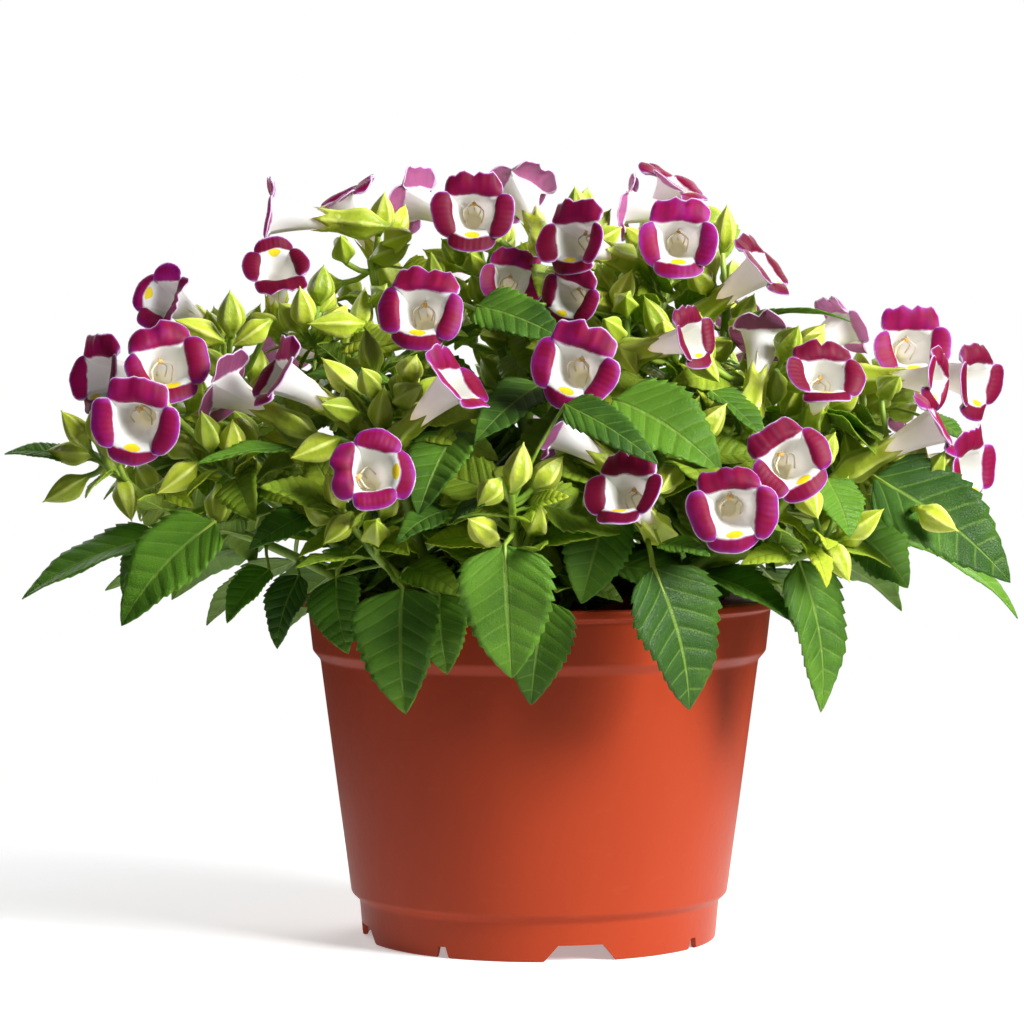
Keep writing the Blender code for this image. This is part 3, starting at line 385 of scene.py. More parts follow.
def blade_sheet(root, base, tip, width, lean):
    """One leaf as a sheet of triangles, from its foot in the stem to its pointed tip."""
    run = tip - base
    length = run.length
    way = run.normalized()
    outward = (base + tip) / 2 - POT_AXIS
    outward.z = 0
    normal = Vector((0, -lean, 0.75)) + outward.normalized() * 0.7
    normal = (normal - way * normal.dot(way)).normalized()
    across = way.cross(normal)
    stalk_across = ((base - root).cross(normal)).normalized() * STALK_HALF_WIDTH * MM
    segments = 2 + sum(length > limit * MM for limit in LEAF_LENGTHS)

    def spot(share, reach):
        """A point of the blade: share of its length, and reach as a part of its half width."""
        half = width / 2 * FULL_WIDTH_FACTOR * share ** 0.55 * (1 - share)
        lift = ARCH * length * 4 * share * (1 - share) + abs(reach) * half * KEEL
        return base + run * share + across * (half * reach) + normal * lift

    points = [root, base - stalk_across, base + stalk_across]
    faces = [(0, 2, 1)]
    left, middle, right = 1, None, 2
    for k in range(segments):
        share = 0.07 + 0.93 * k / segments
        points += [spot(share, -NOTCH_IN), spot(share, NOTCH_IN)]
        new_left, new_right = len(points) - 2, len(points) - 1
        if k == 0:
            faces += [(left, right, new_right), (left, new_right, new_left)]
        else:
            points.append(spot(share - 0.04, 0))
            new_middle = len(points) - 1
            points += [spot(share + 0.02, -TOOTH_OUT), spot(share + 0.02, TOOTH_OUT)]
            tooth_left, tooth_right = len(points) - 2, len(points) - 1
            if middle is None:
                faces.append((left, right, new_middle))
            else:
                faces += [(left, middle, new_middle), (middle, right, new_middle)]
            faces += [(left, new_middle, new_left), (new_middle, right, new_right),
                      (left, new_left, tooth_left), (right, tooth_right, new_right)]
            middle = new_middle
        left, right = new_left, new_right
    points.append(tip)
    end = len(points) - 1
    faces += [(left, middle, end), (middle, right, end)]
    return points, faces


def corolla_sheet(base, way, up, size, spread):
    """One corolla as a sheet: square foot, funnel, and four lobes bent out at the mouth."""
    side = up.cross(way)
    unit = size * MM
    bend = math.radians(spread)

    def ring_point(angle, reach, height):
        angle = math.radians(angle)
        return base + way * height + (up * math.cos(angle) + side * math.sin(angle)) * reach

    points = [ring_point(angle, TUBE_RADIUS * unit, 0) for angle in (0, 100, 180, 260)]
    points += [ring_point(angle, MOUTH_RADIUS * unit, TUBE_LENGTH * unit)
               for angle in MOUTH_ANGLES]
    for angle, length in LOBE_EDGE:
        points.append(ring_point(angle, (MOUTH_RADIUS + length * math.sin(bend)) * unit,
                                 (TUBE_LENGTH + length * math.cos(bend)) * unit))
    faces = [(0, 2, 1), (0, 3, 2)]
    for k in range(4):
        foot, next_foot = k, (k + 1) % 4
        here, middle, after = 4 + 2 * k, 5 + 2 * k, 4 + (2 * k + 2) % 8
        faces += [(foot, middle, here), (foot, next_foot, middle), (next_foot, after, middle)]
    edge = 12
    for k in range(4):
        before, centre, after = 4 + (2 * k - 1) % 8, 4 + 2 * k, 4 + (2 * k + 1) % 8
        tips = [edge + (4 * k - 1) % 16] + [edge + 4 * k + i for i in range(4)]
        faces += [(before, centre, tips[1]), (before, tips[1], tips[0]),
                  (centre, tips[2], tips[1]), (centre, tips[3], tips[2]),
                  (centre, after, tips[3]), (after, tips[4], tips[3])]
    return points, faces


def thick_shell(points, faces, half):
    """Both faces of a sheet, set off by half its thickness, with the sheet between them."""
    normals = [Vector() for _ in points]
    for face in faces:
        a, b, c = (points[i] for i in face)
        normal = (b - a).cross(c - a)
        for i in face:
            normals[i] += normal
    count = len(points)
    shell = list(points)
    for sign in (-1, 1):
        shell += [p + n.normalized() * (half * sign) for p, n in zip(points, normals)]
    return shell, [tuple(i + layer * count for i in face) for layer in range(3) for face in faces]


# What later pieces keep clear of, and the pieces of the plan that found no room
placed = []
left_out = []


def box_of(points):
    """The lowest and highest coordinates of some points."""
    return ([min(p[i] for p in points) for i in range(3)],
            [max(p[i] for p in points) for i in range(3)])


def put(owner, shell):
    """Notes a shape that later ones have to stay clear of."""
    placed.append((owner, BVHTree.FromPolygons(*shell), box_of(shell[0])))


def is_clear(owner, shell):
    """Whether a shape crosses nothing that is already placed, but for its owner's own pieces."""
    tree = BVHTree.FromPolygons(*shell)
    low, high = box_of(shell[0])
    for other, other_tree, (other_low, other_high) in placed:
        apart = any(low[i] > other_high[i] or high[i] < other_low[i] for i in range(3))
        if other != owner and not apart and tree.overlap(other_tree):
            return False
    return True


def tapering(radii, count):
    """Radii from the first to the second of two, in metres."""
    thick, thin = radii
    return [(thick + (thin - thick) * i / (count - 1)) * MM for i in range(count)]


def plan_stems():
    """Main and side stems of every shoot, as paths with their radii."""
    stems = {}
    for shoot, (foot, way_points, sides) in SHOOTS.items():
        start = [mm((*foot, STEM_FOOT)), mm((*foot, STEM_UPRIGHT_TO))]
        main = smooth_path(start + [mm(p) for p in way_points], 2)
        stems[shoot] = [(main, tapering(STEM_RADII, len(main)))]
        for share, side_points in sides:
            path = smooth_path([along(main, share)] + [mm(p) for p in side_points], 1)
            stems[shoot].append((path, tapering(SIDE_STEM_RADII, len(path))))
        for path, radii in stems[shoot]:
            put(shoot, tube_shell(path, radii))
    return stems


def nearest_on_stems(stems, target, drop):
    """The place on a shoot's stems, above the soil, nearest to this far below a target."""
    best = None
    target = target - mm((0, 0, drop))
    for path, _ in stems:
        for i in range(len(path) - 1):
            for step in range(9):
                point = path[i].lerp(path[i + 1], 0.06 + 0.11 * step)
                distance = (point - target).length
                if point.z < LOWEST_STALK * MM or distance < SHORTEST_STALK * MM:
                    continue
                if best is None or distance < best[0]:
                    best = (distance, point)
    return best[1]


def bends():
    """Turns and tilts to try, in order of their size, until a piece is clear."""
    steps = [(turn, tilt) for turn in range(-48, 49, 8) for tilt in range(-40, 41, 8)]
    return sorted(steps, key=lambda step: (abs(step[0]) + abs(step[1]), step))


def turned(point, about, turn, tilt):
    """A point turned about another: first tilted about X, then turned about Z."""
    spin = Matrix.Rotation(math.radians(turn), 3, "Z") @ Matrix.Rotation(math.radians(tilt), 3, "X")
    return about + spin @ (point - about)


def plan_blooms(stems):
    """Every bloom with its calyx and stalk, moved in depth until it is clear of the rest."""
    rng = random.Random(SEED)
    blooms = []
    for number, (shoot, face, turn, tilt, roll, size) in enumerate(BLOOMS):
        way = face_direction(turn, tilt)
        up = (Vector((0, 0, 1)) - way * way.z).normalized()
        side = up.cross(way)
        up = up * math.cos(math.radians(roll)) + side * math.sin(math.radians(roll))
        spread = rng.uniform(58, 88)
        for shift in sorted(range(-30, 31, 2), key=lambda step: (abs(step), step)):
            centre = mm(face) + Vector((0, shift * MM, 0))
            base = centre - way * FACE_FROM_BASE * size * MM
            sheet = corolla_sheet(base, way, up, size, spread)
            ample = corolla_sheet(base, way, up, size * (1 + AMPLE), spread)
            shell = thick_shell(*ample, (PETAL_THICKNESS + CLEARANCE) * MM)
            if not is_clear("", shell):
                continue
            stalk = calyx_on_stalk(shoot, stems[shoot], base - way * CALYX_GAP * MM, -way)
            if stalk:
                break
        else:
            left_out.append(("bloom", number))
            continue
        put("bloom %d" % number, sheet)
        put(shoot, tube_shell(*stalk))
        blooms.append({"shoot": shoot, "base": base, "way": way, "up": up, "size": size,
                       "spread": spread, "stalk": stalk, "sheet": sheet})
    return blooms


def calyx_on_stalk(shoot, stems, front, back_way):
    """The stalk and calyx behind a bloom, or None where they can't be bent clear."""
    narrow, wide, mouth = (radius * MM for radius in CALYX_RADII)
    thin = PEDICEL_RADIUS * MM
    gap = CLEARANCE * MM
    foot = front + back_way * CALYX_LENGTH * MM
    root = nearest_on_stems(stems, foot, 6)
    reach = (foot - root).length
    for swing in sorted(range(-12, 13, 2), key=lambda step: (abs(step), step)):
        for sink in (0.0, 0.3, -0.3, 0.6):
            bend = Vector((0, 0, -sink)) * reach + Vector((swing * MM, 0, 0))
            middle = (root + foot) / 2 + back_way * reach * 0.22 + bend
            points = [root, middle, foot, front + back_way * CALYX_LENGTH * 0.45 * MM, front]
            room = [thin + gap, thin + gap, narrow + gap, wide + gap, mouth]
            if is_clear(shoot, tube_shell(points, room)):
                return points, [thin, thin, narrow, wide, mouth]
    return None


def plan_buds(stems):
    """Every bud on its stalk, turned about its root until it is clear."""
    buds = []
    for number, (shoot, base, tip) in enumerate(BUDS):
        base, tip = mm(base), mm(tip)
        root = nearest_on_stems(stems[shoot], base, 4)
        for turn, tilt in bends():
            foot = turned(base, root, turn, tilt)
            end = turned(tip, root, turn, tilt)
            way = (end - foot).normalized()
            points = [root, foot, foot.lerp(end, 0.42), end]
            radii = [r * MM for r in BUD_RADII]
            shell = tube_shell(points, [r + CLEARANCE * MM for r in radii])
            if is_clear(shoot, shell):
                break
        else:
            left_out.append(("bud", number))
            continue
        put(shoot, tube_shell(points, radii))
        buds.append({"shoot": shoot, "points": points, "radii": radii})
    return buds


def plan_leaves(stems):
    """The listed leaves, then a pair on every main stem, each bent clear."""
    rng = random.Random(SEED + 1)
    wanted = []
    for shoot, base, tip, width, lean in LEAVES:
        base, tip = mm(base), mm(tip)
        root = nearest_on_stems(stems[shoot], base, 4)
        wanted.append((shoot, root, base, tip, width * MM, lean))
    for shoot, paths in stems.items():
        root = along(paths[0][0], PAIR_PLACE)
        start = rng.uniform(0, 180)
        for turn in (start, start + 180):
            base = root + face_direction(turn, 25) * rng.uniform(7, 11) * MM
            grow = rng.uniform(0.85, 1.1) * MM
            tip = base + face_direction(turn, rng.uniform(-30, 5)) * PAIR_LENGTH * grow
            wanted.append((shoot, root, base, tip, PAIR_WIDTH * grow, 0))
    leaves = []
    for number, (shoot, root, base, tip, width, lean) in enumerate(wanted):
        for turn, tilt in bends():
            new_base = turned(base, root, turn, tilt)
            new_tip = turned(tip, root, turn, tilt)
            sheet = blade_sheet(root, new_base, new_tip, width, lean)
            ample = blade_sheet(root, new_base, new_tip + (new_tip - new_base) * AMPLE,
                                width * (1 + 2 * AMPLE), lean)
            shell = thick_shell(*ample, (BLADE_THICKNESS + CLEARANCE) * MM)
            blade_only = (sheet[0][1:], [tuple(i - 1 for i in face) for face in sheet[1][1:]])
            by_hand = number < len(LEAVES)
            if is_clear(shoot, shell) and (by_hand or is_clear("", blade_only)):
                break
        else:
            left_out.append(("leaf", number))
            continue
        put(shoot, sheet)
        leaves.append({"shoot": shoot, "root": root, "base": new_base, "tip": new_tip,
                       "width": width, "lean": lean, "sheet": sheet})
    return leaves


def surface_of_revolution(profile, steps):
    """A turned surface round the pot's axis, for the clearance test."""
    points, faces = [], []
    for radius, height in profile:
        for step in range(steps):
            angle = 2 * math.pi * step / steps
            points.append(POT_AXIS + Vector((radius * math.cos(angle), radius * math.sin(angle),
                                             height)) * MM)
    for row in range(len(profile) - 1):
        for step in range(steps):
            a, b = row * steps + step, row * steps + (step + 1) % steps
            faces += [(a, b, b + steps), (a, b + steps, a + steps)]
    return points, faces


def plan_plant():
    """Stems, blooms, buds and leaves, in the order in which they claim their room."""
    stems = plan_stems()
    put("pot", surface_of_revolution(POT_INSIDE[::-1] + POT_OUTSIDE, POT_STEPS))
    soil = [(max(radius, 1.0), height + SOIL_ROOM) for radius, height in SOIL_TOP]
    put("soil", surface_of_revolution(soil, SOIL_STEPS))
    blooms = plan_blooms(stems)
    buds = plan_buds(stems)
    leaves = plan_leaves(stems)
    return stems, blooms, buds, leaves


# Fine shapes of the leaf
VEINS = 7
VEIN_SWEEP = 0.26
SWEEP = 0.08
TOOTH_DEPTH = 0.11
QUILT = 0.006
LEAF_SHEET = 0.35

# Fine shapes of the calyces and buds
POD_SIDES = 20
BUD_LENGTH = 12.0
BUD_ROWS = 11

# Pot and studio
POT_FINE_STEPS = 144
FLOOR_INSIDE_SHARE = 45.0
ROOM_LIGHT = 0.062
FLOOR_REACH = 0.34
LAMPS = [
    ("key", (1.3, -0.9, 0.95), 0.8, 70.0),
    ("fill", (-0.7, -1.4, 1.0), 1.2, 0.5),
    ("back", (0.6, 1.3, 1.1), 1.0, 16.0),
    ("rim", (-0.9, 1.3, 0.8), 0.9, 11.0),
]
LENS = 127.2
CAMERA_PLACE = (0.0, -1.060, 0.166)
CAMERA_FALL = 2.25

# Fine shapes of the flower: middle angle, half of its side of the mouth, length, half width and
# fullness of the end of each lobe, then how many columns it has
LOBES = [
    (0.0, 60.0, 7.6, 8.6, 3.0, 18),
    (100.5, 40.5, 6.9, 6.5, 2.0, 12),
    (180.0, 39.0, 6.9, 7.0, 2.2, 12),
    (259.5, 40.5, 6.9, 6.5, 2.0, 12),
]
TUBE_ROWS = 9
LOBE_ROWS = 10
PETAL_SHEET = 0.3
RECURVE = 30.0

# More growth than the solids hold: shares of a stem that bear a pair of young leaves
PAIR_SHARES = (0.34, 0.5, 0.64, 0.78, 0.9)
TIP_BUDS = 8
CROWN_TRIES = 170
FILL_TRIES = 560


def smooth_step(value):
    """0 below 0, 1 above 1, and a soft rise between."""
    value = min(max(value, 0.0), 1.0)
    return value * value * (3 - 2 * value)


def mixed(a, b, share):
    """A number on the way from one to another."""
    return a + (b - a) * share


class Sheet:
    """Points, faces and named numbers of a mesh that is being put together."""

    def __init__(self):
        self.points = []
        self.faces = []
        self.marks = {}

    def add(self, point, **marks):
        """One more point with its marks; returns its number."""
        self.points.append(tuple(point))
        for name, value in marks.items():
            self.marks.setdefault(name, []).append(value)
        return len(self.points) - 1

    def weave(self, first, rows, columns, closed=False):
        """Quads between the rows of a grid of points, the first of which is given."""
        for row in range(rows - 1):
            for column in range(columns if closed else columns - 1):
                a = first + row * columns + column
                b = first + row * columns + (column + 1) % columns
                self.faces.append((a, b, b + columns, a + columns))

    def mesh(self, name, merge=0.0):
        """The finished mesh, smooth, with doubles closer than merge joined."""
        mesh = bpy.data.meshes.new(name)
        mesh.from_pydata(self.points, [], self.faces)
        for label, values in self.marks.items():
            mesh.attributes.new(label, "FLOAT", "POINT").data.foreach_set("value", values)
        if merge:
            body = bmesh.new()
            body.from_mesh(mesh)
            bmesh.ops.remove_doubles(body, verts=body.verts, dist=merge)
            body.to_mesh(mesh)
            body.free()
        mesh.shade_smooth()
        return mesh


def piece(name, data, materials, nodes):
    """A finished piece: its materials, its body and the CAD nodes it stands for."""
    item = bpy.data.objects.new(name, data)
    bpy.context.scene.collection.objects.link(item)
    data.materials.clear()
    for material in materials:
        data.materials.append(material)
    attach(item, "root")
    if nodes:
        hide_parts(*nodes)
    return item


def thicken(item, thickness):
    """Gives a sheet its thickness; its other side takes the next material."""
    solid = item.modifiers.new("thickness", "SOLIDIFY")
    solid.thickness = thickness * MM
    solid.offset = 0
    solid.material_offset = 1


def plan_young_leaves(stems):
    """Pairs of leaves along every stem, smaller towards its tip, kept only where they are clear."""
    rng = random.Random(SEED + 2)
    young = []
    for shoot, paths in stems.items():
        for path, _ in paths:
            turn_start = rng.uniform(0, 180)
            for level, share in enumerate(PAIR_SHARES):
                root = along(path, share)
                if root.z < LOWEST_STALK * MM:
                    continue
                turn_start += 90
                for turn in (turn_start, turn_start + 180):
                    length = mixed(30, 13, share) * rng.uniform(0.8, 1.15)
                    width = length * rng.uniform(0.42, 0.56)
                    out = face_direction(turn + rng.uniform(-20, 20), rng.uniform(10, 40))
                    fall = face_direction(turn + rng.uniform(-20, 20), rng.uniform(-35, 25))
                    base = root + out * mixed(9, 3.5, share) * MM
                    young.append((shoot, root, base, base + fall * length * MM, width * MM, share))
    leaves = []
    for shoot, root, base, tip, width, share in young:
        leaf = {"shoot": shoot, "root": root, "base": base, "tip": tip, "width": width,
                "lean": 0, "young": share}
        if keep_leaf(leaf, 22):
            leaves.append(leaf)
    return leaves


def plan_fill_leaves(stems):
    """Leaves that reach from the nearest stem into the gaps among the shoots, where they are clear."""
    rng = random.Random(SEED + 6)
    leaves = []
    for _ in range(FILL_TRIES):
        turn, reach = rng.uniform(0, 360), rng.random() ** 0.6
        height = rng.uniform(104 + 36 * reach ** 2, 128 + 74 * (1 - reach ** 2))
        out = face_direction(turn, 0)
        target = POT_AXIS + Vector((out.x * 118, out.y * 84, 0)) * reach * MM
        target.z = height * MM
        shoot, root = nearest_shoot(stems, target)
        span = target - root
        if root.z < LOWEST_STALK * MM or not 7 * MM < span.length < 34 * MM:
            continue
        # Leaves deep in the crown, low and near the middle, grow bigger and get little young lime, so they
        # are darker green: partly older leaves, partly painted shade inside the crown
        deep = min(max((200 - height) / 90, 0), 1) * (1 - 0.5 * reach)
        length = mixed(16, 32, deep) * rng.uniform(0.8, 1.2)
        width = length * rng.uniform(0.6, 0.74)
        base = root + span * min(0.5, 9 * MM / span.length)
        fall = (span.normalized() + Vector((0, 0, rng.uniform(-0.7, 0.1)))).normalized()
        leaf = {"shoot": shoot, "root": root, "base": base, "tip": base + fall * length * MM,
                "width": width * MM, "lean": 0, "young": mixed(0.75, 0.05, deep)}
        if keep_leaf(leaf, 24):
            leaves.append(leaf)
    return leaves


def nearest_shoot(stems, target):
    """The shoot and the place on its stems that are nearest to a point."""
    found = []
    for shoot, paths in stems.items():
        for path, _ in paths:
            for k in range(12):
                root = along(path, 0.15 + 0.83 * k / 11)
                found.append(((root - target).length, shoot, root))
    _, shoot, root = min(found, key=lambda choice: choice[0])
    return shoot, root


def keep_leaf(leaf, tries):
    """Bends a leaf about its root until it is clear of all else; says whether it is."""
    shoot, root, base, tip = leaf["shoot"], leaf["root"], leaf["base"], leaf["tip"]
    for turn, tilt in bends()[:2 * tries:2]:
        new_base, new_tip = turned(base, root, turn, tilt), turned(tip, root, turn, tilt)
        sheet = blade_sheet(root, new_base, new_tip, leaf["width"], 0)
        blade_only = (sheet[0][1:], [tuple(i - 1 for i in face) for face in sheet[1][1:]])
        if is_clear(shoot, thick_shell(*sheet, 0.4 * MM)) and is_clear("", blade_only):
            put(shoot, sheet)
            leaf["base"], leaf["tip"] = new_base, new_tip
            return True
    return False


def plan_young_buds(stems):
    """Buds round the tip of every stem and all over the crown, kept only where they are clear."""
    rng = random.Random(SEED + 3)
    buds = []
    for shoot, paths in stems.items():
        for path, _ in paths:
            for number in range(TIP_BUDS):
                place = 1.0 if number < 4 else rng.uniform(0.6, 0.9)
                tip, before = along(path, place), along(path, place - 0.08)
                spread = face_direction(rng.uniform(0, 360), rng.uniform(-10, 60))
                out = ((tip - before).normalized() * 0.6 + spread).normalized()
                root = before.lerp(tip, rng.uniform(0.4, 0.95))
                keep_bud(buds, shoot, root, out, rng)
    for _ in range(CROWN_TRIES):
        turn, reach = rng.uniform(0, 360), rng.random() ** 0.5
        out = face_direction(turn, 0)
        target = POT_AXIS + Vector((out.x * 118, out.y * 84, 0)) * reach * MM
        target.z = rng.uniform(150, 205 - 45 * reach ** 2) * MM
        shoot, root = nearest_shoot(stems, target)
        if 5 * MM < (target - root).length < 24 * MM:
            keep_bud(buds, shoot, root, (target - root).normalized(), rng)
    return buds


def keep_bud(buds, shoot, root, out, rng):
    """Bends a bud about its root until it is clear of all else, and notes it."""
    foot = root + out * rng.uniform(5, 11) * MM
    end = foot + (out + Vector((0, 0, 0.3))).normalized() * rng.uniform(9, 14.5) * MM
    points = [root, foot, foot.lerp(end, 0.42), end]
    radii = [radius * MM for radius in BUD_RADII]
    for turn, tilt in bends()[:60:2]:
        place = [turned(point, root, turn, tilt) for point in points]
        shell = tube_shell(place[1:], radii[1:])
        if is_clear("", shell):
            put(shoot, shell)
            buds.append({"shoot": shoot, "points": place, "radii": radii})
            return


def blade_axes(leaf):
    """The run of a blade, and the directions along, across and off its upper face."""
    base, tip = leaf["base"], leaf["tip"]
    run = tip - base
    way = run.normalized()
    outward = (base + tip) / 2 - POT_AXIS
    outward.z = 0
    normal = Vector((0, -leaf["lean"], 0.75)) + outward.normalized() * 0.7
    normal = (normal - way * normal.dot(way)).normalized()
    return run, way, way.cross(normal), normal


def grow_blade(sheet, leaf, rng):
    """A fine toothed blade over the place of its faceted one, quilted between swept veins."""
    run, way, across, normal = blade_axes(leaf)
    length = run.length
    young = leaf.get("young", 0.0)
    if "young" not in leaf:
        teeth, steps, columns = 11, 3, 10
    elif length > 20 * MM:
        teeth, steps, columns = 8, 2, 6
    else:
        teeth, steps, columns = 6, 2, 6
    rows = teeth * steps
    phase, tone = rng.uniform(0, 6.28), rng.random()
    curl, keel = rng.uniform(-0.05, 0.10), KEEL * rng.uniform(0.5, 1.9)
    wave, fullness = rng.uniform(0.04, 0.12), rng.uniform(0.30, 0.40)
    widest = fullness ** fullness * 0.84 ** 0.84 / (fullness + 0.84) ** (fullness + 0.84)
    first = len(sheet.points)
    for row in range(rows + 1):
        share = row / rows
        bite = (row % steps) / (steps - 1) * (1 - share ** 6)
        for column in range(columns + 1):
            reach = 2 * column / columns - 1
            edge = abs(reach)
            place = share + SWEEP * edge ** 1.6 * (1 - share)
            place += 0.35 / teeth * bite * edge ** 6 * (1 - share)
            half = leaf["width"] / 2 * place ** fullness * max(1 - place, 0) ** 0.84 / widest
            half *= 0.98 + TOOTH_DEPTH * (bite - 0.4) * edge ** 4
            vein = (share - VEIN_SWEEP * edge * (1 - share)) * VEINS
            lift = ARCH * length * 4 * place * (1 - place) + edge * half * keel
            lift -= curl * length * place ** 3
            lift += QUILT * length * math.sin(math.pi * vein) ** 2 * (edge - edge ** 5) * 1.6
            lift += wave * half * edge * edge * math.sin(11 * share + phase + (reach > 0) * 2.1)
            lift -= 0.25 * MM * (1 - min(edge * 5, 1)) * (1 - share)
            point = leaf["base"] + run * place + across * (half * reach) + normal * lift
            sheet.add(point, aside=reach, along=share, tone=tone, young=young)
    sheet.weave(first, rows + 1, columns + 1)


def mouth_radius(angle, half):
    """The mouth's radius at this angle from the middle of a lobe: between a circle and a square."""
    chord = math.cos(math.radians(half)) / math.cos(math.radians(angle))
    return MOUTH_RADIUS * mixed(chord, 1.0, 0.5)


def grow_corolla(bloom, number):
    """A fine corolla: a funnel whose mouth is squarish, and four rounded lobes that fold back."""
    rng = random.Random(SEED * 100 + number)
    sheet = Sheet()
    unit = bloom["size"] * MM
    base, way, up = bloom["base"], bloom["way"], bloom["up"]
    side = up.cross(way)
    tone = rng.random()

    def spot(angle, radius, height):
        turn = math.radians(angle)
        return base + (up * math.cos(turn) + side * math.sin(turn)) * radius * unit + way * height * unit

    columns = []
    for lobe, (middle, half, _, _, _, count) in enumerate(LOBES):
        for column in range(count + 1):
            reach = math.sin(math.pi / 2 * (2 * column / count - 1))
            columns.append((lobe, middle, half * reach, reach))
    for row in range(-1, TUBE_ROWS + 1):
        share = max(row, 0) / TUBE_ROWS
        for lobe, middle, off, reach in columns:
            mouth = mixed(MOUTH_RADIUS * 0.92, mouth_radius(off, LOBES[lobe][1]), share ** 3)
            radius = mixed(TUBE_RADIUS, mouth, mixed(share, share ** 3, 0.35))
            if row < 0:
                radius = 0.0
            sheet.add(spot(middle + off, radius, TUBE_LENGTH * share), lobe=lobe, aside=reach,
                      along=share, rim=5.0, tone=tone)
    sheet.weave(0, TUBE_ROWS + 2, len(columns), closed=True)

    nodding, waves = rng.uniform(-12, 16), rng.choice((2, 3, 3, 4))
    for lobe, (middle, half, length, wide, fullness, count) in enumerate(LOBES):
        spread = bloom["spread"] + rng.gauss(4, 9) + (nodding if lobe == 0 else 0)
        recurve = RECURVE * rng.uniform(0.2, 1.7)
        edges = -rng.uniform(0.9, 2.0) if lobe in (0, 2) else rng.uniform(-0.3, 1.0)
        skew, droop = rng.uniform(-0.9, 0.9), rng.uniform(-0.8, 0.8)
        ripple, phase = rng.uniform(0.1, 0.5) * (1.0 if lobe == 0 else 0.5), rng.uniform(0, 6.28)
        length *= rng.uniform(0.9, 1.08)
        wide *= rng.uniform(0.92, 1.05)
        corner = MOUTH_RADIUS * math.sin(math.radians(half))
        turn = math.radians(middle)
        outwards = up * math.cos(turn) + side * math.sin(turn)
        sideways = side * math.cos(turn) - up * math.sin(turn)
        forward, out, path = 0.0, 0.0, [(0.0, 0.0, math.radians(20))]
        for row in range(LOBE_ROWS):
            share = (row + 0.5) / LOBE_ROWS
            bend = mixed(24, spread, smooth_step(share / 0.42)) + recurve * smooth_step(share * 1.5 - 0.5)
            bend = math.radians(bend)
            out += math.sin(bend) / LOBE_ROWS
            forward += math.cos(bend) / LOBE_ROWS
            path.append((out, forward, bend))
        first = len(sheet.points)
        for row, (out, forward, bend) in enumerate(path):
            share = row / LOBE_ROWS
            for column in range(count + 1):
                reach = math.sin(math.pi / 2 * (2 * column / count - 1))
                end = 0.42 + 0.58 * (1 - abs(reach) ** fullness) ** (1 / fullness)
                if lobe == 0:
                    end *= 1 - 0.13 * math.exp(-(reach * 7) ** 2)
                    end *= 1 + 0.075 * math.cos(waves * 3.1 * reach + phase)
                else:
                    end *= 1 + 0.012 * math.sin(5 * reach + phase) + 0.06 * skew * reach
                reached = share * end
                breadth = mixed(corner, wide, smooth_step(reached / 0.30))
                mouth = mouth_radius(half * reach, half)
                angle = math.radians(half * reach)
                start_out = mixed(mouth * math.cos(angle), mouth_radius(0, half), smooth_step(reached))
                start_aside = mixed(mouth * math.sin(angle), breadth * reach, smooth_step(share * 3.6))
                start_aside += droop * smooth_step(reached * 1.3)
                fold = edges * reach * reach * smooth_step(reached * 1.6)
                fold += ripple * math.sin(6 * reach + phase) * reached
                if lobe == 0:
                    pleat = math.cos(waves * 5.2 * reach + phase)
                    fold += 0.5 * pleat * math.exp(-(reach * 1.5) ** 2) * smooth_step(reached * 1.4)
                fold += skew * reach * reached
                point = base + way * (TUBE_LENGTH + forward * length * end + fold * math.sin(bend)) * unit
                point += outwards * (start_out + out * length * end - fold * math.cos(bend)) * unit
                point += sideways * start_aside * unit
                rim = min((1 - share) * end * length, (1 - abs(reach)) * breadth)
                sheet.add(point, lobe=lobe, aside=reach, along=1 + reached, rim=rim, tone=tone)
        sheet.weave(first, LOBE_ROWS + 1, count + 1)
    return sheet.mesh("corolla", 0.00002)


def winged_mesh(name, rings, length):
    """A pod along +Z through rings of (height, radius, height of its wings, rise of its teeth)."""
    sheet = Sheet()
    for height, radius, winged, teeth in rings:
        bow = 0.05 * length * math.sin(math.pi * min(height / length, 1.0))
        for k in range(POD_SIDES):
            angle = 2 * math.pi * k / POD_SIDES
            wing = (0.5 + 0.5 * math.cos(5 * angle)) ** 4
            grown = radius * (1 + winged * (0.05 * math.cos(5 * angle) + 0.3 * wing - 0.1))
            top = height + teeth * (0.5 + 0.5 * math.cos(5 * angle)) ** 1.5
            sheet.add(Vector((math.cos(angle) * grown + bow, math.sin(angle) * grown, top)) * MM,
                      wing=wing, along=top / length)
    sheet.weave(0, len(rings), POD_SIDES, closed=True)
    last = (len(rings) - 1) * POD_SIDES
    sheet.faces.append(tuple(range(POD_SIDES))[::-1])
    sheet.faces.append(tuple(last + k for k in range(POD_SIDES)))
    return sheet.mesh(name)


def bud_mesh():
    """A closed bud: slender at its foot, full below its middle, drawn out to a point."""
    foot, widest, end = BUD_RADII[1:]
    rings = []
    for row in range(BUD_ROWS + 1):
        share = row / BUD_ROWS
        if share < 0.4:
            radius = mixed(foot, widest, smooth_step(share / 0.4))
        else:
            radius = mixed(widest, end, ((share - 0.4) / 0.6) ** 1.9)
        rings.append((share * BUD_LENGTH, radius, math.sin(math.pi * share) ** 0.4, 0.0))
    rings.append((BUD_LENGTH * 1.06, 0.1, 0.0, 0.0))
    return winged_mesh("bud template", rings, BUD_LENGTH)


